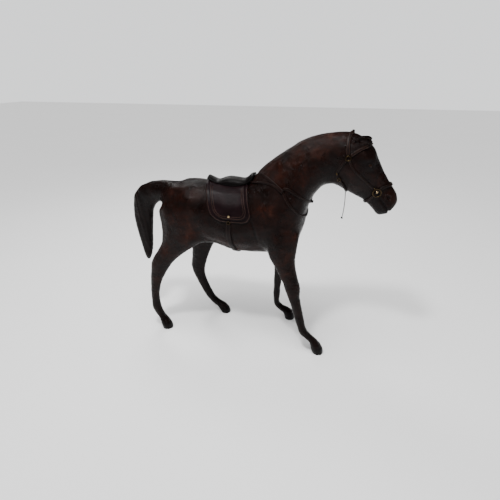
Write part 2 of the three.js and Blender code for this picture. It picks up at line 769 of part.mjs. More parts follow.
function seatShape(s, t) {
  const narrow = 0.3 + 0.7 * Math.sin(Math.PI * THREE.MathUtils.clamp(0.06 + 0.8 * s, 0, 1)) ** 0.7;
  return {
    x: (seatStart + (seatEnd - seatStart) * s) * figureScale,
    angle: t * narrow * THREE.MathUtils.degToRad(seatSpread),
    lift: seatLift,
    height: seatEdge + (seatHeight(s) - seatEdge) * Math.max(1 - t * t, 0) ** 0.6,
  };
}

// Routes on the right side, as rough points that are laid on the skin.
const girthRingSpot = [-27, -50.5, 256.6];
const cheekSpot = [173.9, -27, 378.5];
const bitSpot = [225.8, -17, 322];
const bitStudSpot = [226.2, -17, 323];
const throatStudSpot = [157.5, -24, 351.2];
const throatRingSpot = [162.4, -22.5, 342];
const tabSpot = [65, -35, 319];
const pollSpot = [177, 0, 417];
const chestSpot = [116, 0, 293];
const laceSpot = [175, -8, 320];
const girthSide = [girthRingSpot, [-27.7, -51.5, 232.6], [-23.4, -39.6, 203.7], [-21, -20, 187]];
const girthRoute = [...girthSide, [-20, 0, 183], ...mirrored(girthSide).reverse()];
const collarSide = [
  [25, -13, 340.5], [36.4, -21.7, 336.7], [49.4, -28, 329.9], tabSpot,
  [80, -41, 297], [90.4, -40.3, 286], [101, -29, 274],
];
const collarRoute = [...collarSide, [109, 0, 268], ...mirrored(collarSide).reverse()];
const breastSide = [tabSpot, [73.7, -35.3, 322.5], [91.9, -37, 313.5], [109, -26, 301.5]];
const breastRoute = [...breastSide, chestSpot, ...mirrored(breastSide).reverse()];
const connectorRoute = [[2, -10, 326], [10, -18, 326], [35, -26, 328], [49, -29, 325], tabSpot];
const crownSide = [cheekSpot, [172, -24, 392], [171.8, -16.9, 406.6], [174.5, -8, 415]];
const crownRoute = [...crownSide, pollSpot, ...mirrored(crownSide).reverse()];
const browSide = [cheekSpot, [179.5, -26.5, 384], [187, -24, 389.5], [196, -19.5, 394], [203, -10.5, 397.5]];
const browRoute = [...browSide, [207.5, 0, 398.5], ...mirrored(browSide).reverse()];
const cheekRoute = [cheekSpot, [183, -28, 362], [195.4, -26, 350.4], [210, -21.5, 336.7], bitSpot];
const noseSide = [[210, -7, 303], [217, -15, 310.5], bitSpot, [236.4, -13.5, 331], [248, -5, 334]];
const noseRoute = [...noseSide, ...mirrored(noseSide).reverse()];
const throatSide = [
  cheekSpot, [163, -26, 364], throatStudSpot, throatRingSpot, [170, -18, 331], [175, -8, 321],
];
const throatRoute = [...throatSide, [176, 0, 318.5], ...mirrored(throatSide).reverse()];

const leather = new THREE.MeshStandardMaterial({ color: 0x3a201a, roughness: 0.5, metalness: 0 });
const tackLeather = new THREE.MeshStandardMaterial({ color: 0x2b1418, roughness: 0.45, metalness: 0 });
const brass = new THREE.MeshStandardMaterial({ color: 0xb08a3e, roughness: 0.35, metalness: 1 });
const glass = new THREE.MeshStandardMaterial({ color: 0x0b0705, roughness: 0.08, metalness: 0 });
const cord = new THREE.MeshStandardMaterial({ color: 0x1d1210, roughness: 0.7, metalness: 0 });

// The skin moved out by the clearance, which every piece on it is cut back to.
function swollenSkin() {
  const geometry = skinMesh.geometry.clone();
  const { position, normal } = geometry.attributes;
  for (let i = 0; i < position.count; i++) {
    const [x, y, z] = ["X", "Y", "Z"].map((k) => position[`get${k}`](i) + pieceGap * normal[`get${k}`](i));
    position.setXYZ(i, x, y, z);
  }
  return solidFrom(geometry);
}

const pieces = [];
const meeting = 0.002;
let placed = skin;
let taken = swollenSkin().add(skin);

// Adds a piece, cut back to its clearance from the pieces before it. make(grow) builds it, larger by grow.
function addPiece(name, material, make) {
  const whole = make(0);
  const touching = whole.intersect(placed).volume() > meeting;
  const parts = touching ? whole.subtract(taken).decompose() : [whole];
  const largest = parts.sort((a, b) => b.volume() - a.volume())[0];
  pieces.push({ name, material, solid: largest });
  placed = placed.add(largest);
  taken = taken.add(whole).add(make(pieceGap));
}

// A solid stood on the skin at a spot, its own +Z along the skin's normal.
function stoodOn(spot, lift, build) {
  const { point, normal } = nearestOnSkin(onFigure(spot));
  const x = new THREE.Vector3(-normal.x * normal.z, -normal.y * normal.z, 1 - normal.z ** 2).normalize();
  const y = new THREE.Vector3().crossVectors(normal, x);
  const matrix = new THREE.Matrix4().makeBasis(x, y, normal);
  matrix.setPosition(point.clone().addScaledVector(normal, lift));
  return (grow) => solidFrom(build(grow).applyMatrix4(matrix));
}

const largeRing = 4;
const ringBody = ({ radius, wire }) => (grow) => {
  const [section, around] = radius > largeRing ? [6, 12] : [5, 9];
  return new THREE.TorusGeometry(radius - wire, wire + grow, section, around);
};

const domeSteps = 3;
function domeBody({ radius, height }) {
  return (grow) => {
    const profile = [new THREE.Vector2(0, -grow), new THREE.Vector2(radius + grow, -grow)];
    for (let i = grow > 0 ? 0 : 1; i <= domeSteps; i++) {
      const angle = (Math.PI / 2) * (i / domeSteps);
      profile.push(new THREE.Vector2((radius + grow) * Math.cos(angle), (height + grow) * Math.sin(angle)));
    }
    profile.at(-1).x = 0;
    return new THREE.LatheGeometry(profile, 10).rotateX(Math.PI / 2);
  };
}

const sides = [["right", 1], ["left", -1]];
const onSide = ([x, y, z], sign) => [x, y * sign, z];

const padShape = flapShape(padOutline, padLift, padThickness);
const flapsShape = flapShape(flapOutline, flapLift, flapThickness);
addPiece("saddle_pad", tackLeather, (grow) => drape(padShape, 9, 16, grow));
addPiece("saddle_flaps", tackLeather, (grow) => drape(flapsShape, 8, 14, grow));
addPiece("saddle_seat", tackLeather, (grow) => drape(seatShape, 12, 6, grow));

// A solid stood on a sheet at an x and an angle from upright, its own +Z pointing away from the back's axis.
function stoodOnSheet(x, degrees, sign, lift, build) {
  const angle = THREE.MathUtils.degToRad(-degrees * sign);
  const outward = new THREE.Vector3(0, Math.sin(angle), Math.cos(angle));
  const forward = new THREE.Vector3(1, 0, 0);
  const upward = new THREE.Vector3().crossVectors(outward, forward);
  const matrix = new THREE.Matrix4().makeBasis(forward, upward, outward);
  const origin = new THREE.Vector3(x * figureScale, 0, backAxisHeight);
  matrix.setPosition(origin.addScaledVector(outward, sheetRadius(x * figureScale, angle) + lift));
  return (grow) => solidFrom(build(grow).applyMatrix4(matrix));
}

const girthPlace = -27;
const flapStudAngle = 75;
const overFlap = flapLift + flapThickness + pieceGap;
const girthRingAngle = 88;
const overBridle = strapLift + bridleThickness + pieceGap;
for (const [side, sign] of sides) {
  const stud = stoodOnSheet(girthPlace, flapStudAngle, sign, overFlap, domeBody(flapStud));
  addPiece(`flap_stud_${side}`, brass, stud);
  const ring = stoodOnSheet(girthPlace, girthRingAngle, sign, padTop + girthRing.wire, ringBody(girthRing));
  addPiece(`girth_ring_${side}`, brass, ring);
  const cheek = stoodOn(onSide(cheekSpot, sign), strapLift + cheekRing.wire, ringBody(cheekRing));
  addPiece(`cheek_ring_${side}`, brass, cheek);
  const bit = stoodOn(onSide(bitSpot, sign), overBridle + bitRing.wire, ringBody(bitRing));
  addPiece(`bit_ring_${side}`, brass, bit);
  const bitDome = stoodOn(onSide(bitStudSpot, sign), overBridle, domeBody(bitStud));
  addPiece(`bit_stud_${side}`, brass, bitDome);
  const throatDome = stoodOn(onSide(throatStudSpot, sign), overBridle, domeBody(throatStud));
  addPiece(`throat_stud_${side}`, brass, throatDome);
  const smallRing = stoodOn(onSide(throatRingSpot, sign), overBridle + throatRing.wire, ringBody(throatRing));
  addPiece(`throat_ring_${side}`, brass, smallRing);
}

const overStrap = strapLift + collarThickness + pieceGap;
const tab = (spot, sign) => {
  const half = tabLength / 2;
  const along = [0.8 * half, 0, -0.6 * half].map((v) => v / figureScale);
  const rows = [-1, 0, 1].map((k) => [spot[0] + k * along[0], spot[1] * sign, spot[2] + k * along[2]]);
  const stops = laidOnSkin(rows, 4);
  return (grow) => strap(stops, { width: tabWidth, thickness: tabThickness, lift: overStrap }, grow);
};

const spotPoint = (spot, sign = 1) => nearestOnSkin(onFigure(onSide(spot, sign))).point;
const clearOf = ({ radius }) => radius + pieceGap;
function tiedStrap(name, route, step, size, rings, knots = () => []) {
  let stops = laidOnSkin(route, step);
  for (const [spot, sign, ring, atEnd] of rings) {
    stops = shortened(stops, spotPoint(spot, sign), clearOf(ring), atEnd);
  }
  const make = (grow) => knots(grow).reduce((whole, knot) => whole.add(knot), strap(stops, size, grow));
  addPiece(name, tackLeather, make);
}

// A knot in a strap: a ball that sits in the strap where it passes a spot.
function knotOn(spot, radius) {
  const { point, normal } = nearestOnSkin(onFigure(spot));
  const centre = point.clone().addScaledVector(normal, strapLift + radius);
  return (grow) => solidFrom(ball(radius + grow, 8, 6).translate(centre.x, centre.y, centre.z));
}

const bothCheeks = [[cheekSpot, 1, cheekRing, false], [cheekSpot, -1, cheekRing, true]];
const ends = [[girthRingSpot, 1, girthRing, false], [girthRingSpot, -1, girthRing, true]];
tiedStrap("girth", girthRoute, 5, { width: girthWidth, thickness: girthThickness }, ends);
const crownKnot = knotOn(pollSpot, crownKnotRadius);
const crownSize = { width: crownWidth, thickness: bridleThickness };
tiedStrap("crown_strap", crownRoute, 4, crownSize, bothCheeks, (grow) => [crownKnot(grow)]);
tiedStrap("browband", browRoute, 4, { width: browbandWidth, thickness: bridleThickness }, bothCheeks);
for (const [side, sign] of sides) {
  const route = cheekRoute.map((row) => onSide(row, sign));
  const rings = [[cheekSpot, sign, cheekRing, false], [bitSpot, sign, bitRing, true]];
  const size = { width: cheekpieceWidth, thickness: bridleThickness };
  tiedStrap(`cheekpiece_${side}`, route, 5, size, rings);
}
const throatSize = { width: throatlatchWidth, thickness: bridleThickness };
tiedStrap("throatlatch", throatRoute, 4.5, throatSize, bothCheeks);

const noseStops = laidOnSkin(noseRoute, 4, true);
const noseSize = { width: nosebandWidth, thickness: bridleThickness, closed: true };
addPiece("noseband", tackLeather, (grow) => strap(noseStops, noseSize, grow));

const collarStops = laidOnSkin(collarRoute, 7);
const collarSize = { width: collarWidth, thickness: collarThickness };
addPiece("breast_collar", tackLeather, (grow) => strap(collarStops, collarSize, grow));
const breastStops = laidOnSkin(breastRoute, 7);
const breastSize = { width: breastStrapWidth, thickness: collarThickness };
const breastKnot = knotOn(chestSpot, breastKnotRadius);
addPiece("breast_strap", tackLeather, (grow) => strap(breastStops, breastSize, grow).add(breastKnot(grow)));
for (const [side, sign] of sides) {
  const stops = laidOnSkin(connectorRoute.map((row) => onSide(row, sign)), 7);
  const size = { width: connectorWidth, thickness: collarThickness };
  addPiece(`saddle_tie_${side}`, tackLeather, (grow) => strap(stops, size, grow));
  addPiece(`breast_tab_${side}`, tackLeather, tab(tabSpot, sign));
}

// The face: glass eyes in their sockets, nostrils, and the notch between the lips.
const eyeSpot = [210, -22.5, 367];
const nostrilSpot = [247, -15, 313];
const nostrilSize = [5, 3, 3.2];
const mouthCorner = [229, 318];
const mouthFront = [256, 279];
const mouthOpening = 5.5;
const mouthNotchShare = 0.38;

let carved = skin;
for (const [side, sign] of sides) {
  const { point, normal } = nearestOnSkin(onFigure(onSide(eyeSpot, sign)));
  const centre = point.clone().addScaledVector(normal, -eyeDepth);
  const eye = (grow) => solidFrom(ball(eyeRadius + grow, 10, 7).translate(centre.x, centre.y, centre.z));
  carved = carved.subtract(eye(pieceGap));
  pieces.push({ name: `eye_${side}`, material: glass, solid: eye(0) });
  const nostril = nearestOnSkin(onFigure(onSide(nostrilSpot, sign)));
  const hole = ball(1, 10, 6).scale(...nostrilSize.map((v) => v * figureScale)).rotateY(0.5);
  const sunk = nostril.point.clone().addScaledVector(nostril.normal, 0.6 * figureScale);
  carved = carved.subtract(solidFrom(hole.translate(sunk.x, sunk.y, sunk.z)));
}
const mouthShape = new THREE.Shape();
{
  const [corner, front] = [mouthCorner, mouthFront].map(([x, z]) => new THREE.Vector2(x, z));
  const across = front.clone().sub(corner).normalize().rotateAround(new THREE.Vector2(), Math.PI / 2);
  const inner = front.clone().lerp(corner, mouthNotchShare);
  mouthShape.moveTo(inner.x * figureScale, inner.y * figureScale);
  for (const sign of [-1, 1]) {
    const lip = front.clone().addScaledVector(across, (sign * mouthOpening) / 2).multiplyScalar(figureScale);
    mouthShape.lineTo(lip.x, lip.y);
  }
}
const muzzleWidth = 60 * figureScale;
const slit = new THREE.ExtrudeGeometry(mouthShape, { depth: muzzleWidth, bevelEnabled: false });
slit.rotateX(Math.PI / 2).translate(0, muzzleWidth / 2, 0);
carved = carved.subtract(solidFrom(slit));
pieces.unshift({ name: "horse_body", material: leather, solid: carved });

// The loose lace hangs from the throatlatch, near the right side of the jaw, and ends in a knot.
const laceTop = nearestOnSkin(onFigure(laceSpot));
const laceDrop = laceTop.point.clone().addScaledVector(laceTop.normal, overBridle);
const laceStart = laceDrop.clone().add(new THREE.Vector3(0, 0, -laceDiameter / 2));
const sway = [[0, 0, 0], [0.6, 0.3, -0.3], [0.3, 0.4, -0.6], [-0.5, 0.2, -0.84], [-1.6, 0, -1]];
const lacePoints = sway.map(([x, y, share]) =>
  laceStart.clone().add(new THREE.Vector3(x * figureScale, y * figureScale, share * laceLength)),
);
const laceCurve = new THREE.CatmullRomCurve3(lacePoints, false, "centripetal");
const laceRound = new THREE.Shape().absarc(0, 0, laceDiameter / 2, 0, 2 * Math.PI);
const lace = new THREE.ExtrudeGeometry(laceRound, {
  steps: Math.round(laceLength / (2.5 * laceDiameter)),
  curveSegments: 4,
  extrudePath: laceCurve,
  bevelEnabled: false,
});
const laceEnd = laceCurve.getPoint(1);
const knotCentre = laceEnd.clone().addScaledVector(laceCurve.getTangent(1), laceKnotRadius + pieceGap);

const part = new THREE.Group();
part.name = "leather_horse";
function addMesh(name, geometry, material) {
  const mesh = new THREE.Mesh(geometry, material);
  mesh.name = name;
  part.add(mesh);
}
for (const { name, material, solid } of pieces) addMesh(name, geometryFrom(solid), material);
const withoutCord = new THREE.Box3().setFromObject(part);
addMesh("bridle_lace", lace, cord);
const knot = ball(laceKnotRadius, 8, 6).translate(knotCentre.x, knotCentre.y, knotCentre.z);
addMesh("lace_knot", knot, cord);

// The origin is under the middle of the figure, at the height of its soles.
const middle = withoutCord.getCenter(new THREE.Vector3());
for (const mesh of part.children) mesh.geometry.translate(-middle.x, -middle.y, -withoutCord.min.z);

export default part;
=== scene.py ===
"""A walking horse figure wrapped in dark leather, in saddle and bridle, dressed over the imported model.

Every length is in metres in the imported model's frame, unless its name ends in _mm. Points named as drawn are in
millimetres in the drawing's own coordinates, whose origin lies drawn_offset_mm from the frame's.
"""

import math

import bmesh
import bpy
import numpy as np
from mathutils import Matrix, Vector, noise
from mathutils.bvhtree import BVHTree


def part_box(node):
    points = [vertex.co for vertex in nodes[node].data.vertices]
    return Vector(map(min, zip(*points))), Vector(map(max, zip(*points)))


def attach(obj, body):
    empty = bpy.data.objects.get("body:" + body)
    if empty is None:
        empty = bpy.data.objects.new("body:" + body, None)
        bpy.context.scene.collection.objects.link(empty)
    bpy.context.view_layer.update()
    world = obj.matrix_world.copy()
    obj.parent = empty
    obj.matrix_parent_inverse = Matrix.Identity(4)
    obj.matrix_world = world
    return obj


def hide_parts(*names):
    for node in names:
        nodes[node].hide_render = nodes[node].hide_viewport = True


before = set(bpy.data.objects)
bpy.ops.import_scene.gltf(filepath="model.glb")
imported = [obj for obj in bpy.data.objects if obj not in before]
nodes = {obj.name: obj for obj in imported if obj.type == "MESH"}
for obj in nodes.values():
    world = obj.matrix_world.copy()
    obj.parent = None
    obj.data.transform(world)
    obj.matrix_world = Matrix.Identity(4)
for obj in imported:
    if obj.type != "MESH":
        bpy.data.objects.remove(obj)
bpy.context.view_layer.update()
scene = bpy.context.scene

mm = 0.001
drawn_offset_mm = np.array([7.2006, 3.0, 0.0])

# Each side's name, and what turns a drawn y to it
sides = (("right", 1), ("left", -1))


def placed(drawn):
    """A drawn point, in millimetres, as a point of the frame, in metres."""
    return (np.asarray(drawn, dtype=float) - drawn_offset_mm) * mm


def both_sides(point):
    """A frame point and its mirror image past the figure's middle plane."""
    middle = -drawn_offset_mm[1] * mm
    return [np.asarray(point), np.array([point[0], 2 * middle - point[1], point[2]])]


def flipped(rows):
    """Drawn points mirrored to the figure's other side."""
    return [[x, -y, z] for x, y, z in rows]


def ramp(value, start, run):
    """0 before the start and 1 from a run past it. A negative run goes the other way."""
    return np.clip((value - start) / run, 0, 1)


def hump(value, middle, width):
    """1 in the middle, falling to 0 within about two widths."""
    return np.exp(-(((value - middle) / width) ** 2))


def near(points, centre, reach):
    """1 at a centre, falling to 0 within about two reaches."""
    return hump(np.linalg.norm((points - centre) / reach, axis=1), 0, 1)


# Camera, at the photograph's angle

camera_azimuth = math.radians(14.5)
camera_elevation = math.radians(24)
camera_distance = 0.8
camera_lens_mm = 28.8
aim = Vector(placed([0, 0, 183]))


def make_camera():
    back = Vector((
        math.sin(camera_azimuth) * math.cos(camera_elevation),
        -math.cos(camera_azimuth) * math.cos(camera_elevation),
        math.sin(camera_elevation),
    ))
    data = bpy.data.cameras.new("camera")
    data.lens = camera_lens_mm
    data.sensor_width = 36
    data.clip_start = 0.01
    camera = bpy.data.objects.new("camera", data)
    scene.collection.objects.link(camera)
    camera.location = aim + back * camera_distance
    camera.rotation_euler = (-back).to_track_quat("-Z", "Y").to_euler()
    scene.camera = camera


make_camera()


# Mesh helpers

def dress(piece, node=None):
    """Sets a piece on the one body, in the place of a node if one is named."""
    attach(piece, "root")
    if node:
        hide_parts(node)


def new_piece(name, points, faces, material, slot, node=None):
    mesh = bpy.data.meshes.new(name)
    mesh.from_pydata([tuple(p) for p in points], [], faces)
    mesh.validate()
    mesh.polygons.foreach_set("use_smooth", [True] * len(mesh.polygons))
    mesh.update()
    mesh.materials.append(material)
    piece = bpy.data.objects.new(name, mesh)
    scene.collection.objects.link(piece)
    dress(piece, node)
    return piece


def joined(parts):
    """Several (points, faces) parts as one."""
    points, faces = [], []
    for some_points, some_faces in parts:
        start = len(points)
        points.extend(some_points)
        faces.extend(tuple(v + start for v in face) for face in some_faces)
    return points, faces


def circle(count):
    """The cosine and sine of even turns round a circle."""
    turns = (2 * math.pi * k / count for k in range(count))
    return [(math.cos(turn), math.sin(turn)) for turn in turns]


def ring_faces(count, around, closed=False, capped=True):
    """The faces over a row of rings of points, with flat ends unless it is closed or left uncapped."""
    faces = []
    for i in range(count if closed else count - 1):
        a, b = i * around, (i + 1) % count * around
        for k in range(around):
            n = (k + 1) % around
            faces.append((a + k, a + n, b + n, b + k))
    if capped and not closed:
        faces += [tuple(range(around - 1, -1, -1)), tuple(range((count - 1) * around, count * around))]
    return faces


def turned_out(faces):
    return [face[::-1] for face in faces]


def tangents_of(path, closed):
    """The unit directions of a path at its points."""
    count = len(path)
    spans = [
        ((i - 1) % count, (i + 1) % count) if closed else (max(i - 1, 0), min(i + 1, count - 1))
        for i in range(count)
    ]
    return [Vector(path[after] - path[before]).normalized() for before, after in spans]


def tube_parts(path, radius, around=8, closed=False):
    """The points and faces of a tube along a path. radius is one number or one for each point."""
    path = [Vector(p) for p in path]
    tangents = tangents_of(path, closed)
    across = tangents[0].orthogonal().normalized()
    points = []
    for spot, tangent, reach in zip(path, tangents, np.broadcast_to(radius, len(path))):
        across = (across - tangent * across.dot(tangent)).normalized()
        other = tangent.cross(across)
        points += [spot + (across * c + other * s) * float(reach) for c, s in circle(around)]
    return points, ring_faces(len(path), around, closed)


def turned(axis):
    """The rotation that takes the upright onto an axis."""
    return Vector((0, 0, 1)).rotation_difference(Vector(axis)).to_matrix()


def travelled(line):
    """How far along a line each of its points lies."""
    return np.concatenate([[0], np.cumsum(np.linalg.norm(np.diff(line, axis=0), axis=1))])


def sampled(at, lengths, rows):
    """Rows of values known at some lengths, read at others."""
    return np.stack([np.interp(at, lengths, column) for column in rows.T], axis=1)


def smooth_line(points, step, closed=False):
    """Even steps along a centripetal curve through the points."""
    def between(first, last, start, end, at):
        return ((end - at) * first + (at - start) * last) / (end - start)

    points = [np.asarray(p, dtype=float) for p in points]
    if closed:
        padded = [points[-1], *points, *points[:2]]
    else:
        padded = [2 * points[0] - points[1], *points, 2 * points[-1] - points[-2]]
    fine = []
    for four in zip(padded, padded[1:], padded[2:], padded[3:]):
        knots = np.cumsum([0] + [np.linalg.norm(b - a) ** 0.5 for a, b in zip(four, four[1:])])
        for t in np.linspace(knots[1], knots[2], 24, endpoint=False):
            low = [between(four[i], four[i + 1], knots[i], knots[i + 1], t) for i in range(3)]
            high = [between(low[i], low[i + 1], knots[i], knots[i + 2], t) for i in range(2)]
            fine.append(between(*high, knots[1], knots[2], t))
    fine.append(points[0] if closed else points[-1])
    fine = np.array(fine)
    lengths = travelled(fine)
    count = max(2, round(lengths[-1] / step))
    line = sampled(np.linspace(0, lengths[-1], count + 1), lengths, fine)
    return line[:-1] if closed else line


def evened(field, passes, closed=False):
    """Rows smoothed along their order, with both ends held unless it is closed."""
    for _ in range(passes):
        if closed:
            field = 0.5 * field + 0.25 * (np.roll(field, 1, axis=0) + np.roll(field, -1, axis=0))
        else:
            field[1:-1] = 0.5 * field[1:-1] + 0.25 * (field[:-2] + field[2:])
    return field


# Materials

def fill(tree, node, inputs):
    """Sets a node's sockets from values and links them from other sockets."""
    for key, value in inputs.items():
        if isinstance(value, bpy.types.NodeSocket):
            tree.links.new(value, node.inputs[key])
        else:
            node.inputs[key].default_value = value
    return node


def add_node(tree, kind, inputs=None, **settings):
    node = tree.nodes.new(kind)
    for key, value in settings.items():
        setattr(node, key, value)
    return fill(tree, node, inputs or {})


def node_material(name):
    """A new material, its tree, its shader and the object's own coordinates."""
    material = bpy.data.materials.new(name)
    material.use_nodes = True
    tree = material.node_tree
    tree.nodes.clear()
    shader = tree.nodes.new("ShaderNodeBsdfPrincipled")
    add_node(tree, "ShaderNodeOutputMaterial", {"Surface": shader.outputs["BSDF"]})
    return material, tree, shader, add_node(tree, "ShaderNodeTexCoord").outputs["Object"]


def mixed(tree, factor, first, second):
    """A mix of two colours, each a colour or a socket."""
    ends = [value if isinstance(value, bpy.types.NodeSocket) else (*value, 1) for value in (first, second)]
    return add_node(tree, "ShaderNodeMix", {0: factor, 6: ends[0], 7: ends[1]}, data_type="RGBA").outputs[2]


def product(tree, first, second):
    return add_node(tree, "ShaderNodeMath", {0: first, 1: second}, operation="MULTIPLY").outputs[0]


def ranged(tree, value, low, high, to_low=0.0, to_high=1.0):
    limits = {"Value": value, "From Min": low, "From Max": high, "To Min": to_low, "To Max": to_high}
    return add_node(tree, "ShaderNodeMapRange", limits, clamp=True).outputs["Result"]


def noise_socket(tree, place, scale, detail=4.0, roughness=0.55, distortion=0.0):
    inputs = {"Vector": place, "Scale": scale, "Detail": detail, "Roughness": roughness}
    inputs["Distortion"] = distortion
    return add_node(tree, "ShaderNodeTexNoise", inputs).outputs["Fac"]


def bumped(tree, height, strength, distance, under=None):
    """The normal of a relief, over that of another if one is given."""
    inputs = {"Height": height, "Strength": strength, "Distance": distance}
    if under is not None:
        inputs["Normal"] = under
    return add_node(tree, "ShaderNodeBump", inputs).outputs["Normal"]


def lay_leather(tree, shader, place, grain, base, pore_shade, rough, gloss):
    """Grain of small rounded cells with fine lines between them, darker in its pores, over longer creases."""
    cell, depth, creasing, crease_scale = grain
    warp = add_node(tree, "ShaderNodeTexNoise", {"Vector": place, "Scale": 0.35 / cell, "Detail": 2.0})
    shift = {0: warp.outputs["Color"], "Scale": cell * 1.2}
    shift = add_node(tree, "ShaderNodeVectorMath", shift, operation="SCALE").outputs[0]
    moved = add_node(tree, "ShaderNodeVectorMath", {0: place, 1: shift}, operation="ADD").outputs[0]
    cells = {"Vector": moved, "Scale": 1 / cell}
    cells = add_node(tree, "ShaderNodeTexVoronoi", cells, feature="DISTANCE_TO_EDGE")
    pores = ranged(tree, cells.outputs["Distance"], 0.0, 0.14)
    ridges = {0: noise_socket(tree, place, crease_scale, 6.0, 0.62, 1.4), 1: 0.09}
    ridges = add_node(tree, "ShaderNodeMath", ridges, operation="PINGPONG").outputs[0]
    normal = bumped(tree, pores, depth, 0.0002)
    normal = bumped(tree, noise_socket(tree, place, 1.6 / cell, 3.0), depth * 0.6, 0.00025, normal)
    normal = bumped(tree, ridges, creasing, 0.003, normal)
    base = mixed(tree, ranged(tree, pores, 0, 1, pore_shade, 0), base, pore_and_shade_black)
    fill(tree, shader, {"Base Color": base, "Roughness": rough, "Normal": normal, "Specular IOR Level": gloss})


def body_leather():
    """Waxed dark leather: near black on the feet, with painted shade near black in its hollows and creases and
    low on its far side, red brown where it is rubbed.
    """
    material, tree, shader, place = node_material("body_leather")
    tone = add_node(tree, "ShaderNodeAttribute", attribute_name="tone").outputs["Color"]
    rubbed, painted_hollow_shade, dark = add_node(tree, "ShaderNodeSeparateColor", {"Color": tone}).outputs
    patches = ranged(tree, noise_socket(tree, place, 46.0, 7.0, 0.68, 0.8), 0.4, 0.64)
    streaks = ranged(tree, noise_socket(tree, place, 130.0, 5.0, 0.65), 0.36, 0.66)
    base = mixed(tree, patches, leather_dark, leather_mid)
    reach = product(tree, rubbed, ranged(tree, patches, 0, 1, 0.2, 1))
    base = mixed(tree, reach, base, leather_rubbed)
    base = mixed(tree, ranged(tree, product(tree, reach, streaks), 0.3, 0.9, 0, 0.5), base, leather_tan)
    # Painted shade: the hollows and creases are darkened towards near black.
    base = mixed(tree, ranged(tree, painted_hollow_shade, 0, 1, 0, 0.75), base, pore_and_shade_black)
    # Near black on the hooves and darker low down, with painted shade low on the far side.
    base = mixed(tree, ranged(tree, dark, 0, 1, 0, 0.85), base, hoof_and_shade_black)
    rough = ranged(tree, noise_socket(tree, place, 48.0, 5.0, 0.6), 0.34, 0.66, 0.22, 0.45)
    lay_leather(tree, shader, place, (0.0011, 0.3, 0.6, 85.0), base, 0.35, rough, 0.1)
    return material


def strap_leather(name, colour, worn, sheen, gloss):
    """Smooth leather in two shades, with a soft sheen."""
    material, tree, shader, place = node_material(name)
    patches = ranged(tree, noise_socket(tree, place, 60.0, 5.0, 0.6, 0.4), 0.4, 0.7)
    rough = ranged(tree, noise_socket(tree, place, 90.0, 4.0), 0.3, 0.7, sheen - 0.07, sheen + 0.1)
    base = mixed(tree, patches, colour, worn)
    lay_leather(tree, shader, place, (0.0008, 0.16, 0.16, 110.0), base, 0.3, rough, gloss)
    return material


def seat_leather():
    """The seat's near black leather: its top painted grey as a reflection of overhead light, its sides and pommel
    near black with painted shade; its shade attribute tells them apart.
    """
    material, tree, shader, place = node_material("seat_leather")
    shade = add_node(tree, "ShaderNodeAttribute", attribute_name="shade").outputs["Fac"]
    patches = ranged(tree, noise_socket(tree, place, 90.0, 5.0, 0.6, 0.4), 0.36, 0.68)
    # The grey painted reflection on the top, in patches.
    top = mixed(tree, patches, seat_reflection_grey, seat_reflection_pale)
    base = mixed(tree, ranged(tree, shade, 0.1, 0.9), seat_black, top)
    rough = ranged(tree, patches, 0, 1, 0.36, 0.5)
    lay_leather(tree, shader, place, (0.0008, 0.16, 0.2, 110.0), base, 0.3, rough, 0.08)
    return material


def thread_material(name, dark, light):
    material, tree, shader, place = node_material(name)
    fuzz = noise_socket(tree, place, 900.0, 3.0)
    base = mixed(tree, ranged(tree, fuzz, 0.3, 0.7), dark, light)
    normal = bumped(tree, fuzz, 0.4, 0.0001)
    fill(tree, shader, {"Base Color": base, "Normal": normal, "Roughness": 0.75, "Specular IOR Level": 0.15})
    return material


def brass_material(name, bright, brown):
    """Aged brass, browned in patches, with fine scratches."""
    material, tree, shader, place = node_material(name)
    tarnish = ranged(tree, noise_socket(tree, place, 420.0, 6.0, 0.65), 0.42, 0.72)
    base, rough = mixed(tree, tarnish, bright, brown), ranged(tree, tarnish, 0, 1, 0.2, 0.48)
    normal = bumped(tree, noise_socket(tree, place, 1500.0, 4.0, 0.7), 0.12, 0.0001)
    fill(tree, shader, {"Base Color": base, "Roughness": rough, "Normal": normal, "Metallic": 1})
    return material


def eye_material():
    """Cloudy dark brown glass."""
    material, tree, shader, place = node_material("glass_eye")
    cloud = ranged(tree, noise_socket(tree, place, 500.0, 3.0), 0.35, 0.65)
    base = mixed(tree, cloud, (0.004, 0.0025, 0.002), (0.02, 0.008, 0.004))
    fill(tree, shader, {"Base Color": base, "Roughness": 0.16, "Specular IOR Level": 0.16})
    return material


leather_dark = (0.0029, 0.0012, 0.0009)
leather_mid = (0.0068, 0.0022, 0.0016)
leather_rubbed = (0.0255, 0.0072, 0.0042)
leather_tan = (0.05, 0.019, 0.0125)
# Near black for the pores of the grain, and for the shade painted into the body's hollows.
pore_and_shade_black = (0.0018, 0.001, 0.001)
# Near black for the hooves, also used for the shade painted low on the far side.
hoof_and_shade_black = (0.003, 0.0022, 0.0022)
tan_thread_dark = (0.06, 0.032, 0.024)
tan_thread_light = (0.13, 0.075, 0.055)
brown_thread_dark = (0.018, 0.0095, 0.008)
brown_thread_light = (0.045, 0.026, 0.02)
# The seat's near black, its leather's own colour deepened by painted shade on its sides and pommel, and the greys
# of its top, a painted reflection of overhead light.
seat_black = (0.0022, 0.0016, 0.0016)
seat_reflection_grey = (0.0085, 0.0072, 0.0072)
seat_reflection_pale = (0.026, 0.0235, 0.0225)
brass_bright = (0.5, 0.38, 0.22)
brass_brown = (0.1, 0.06, 0.028)
wire_bright = (0.062, 0.0422, 0.0223)
wire_brown = (0.014, 0.00875, 0.0056)

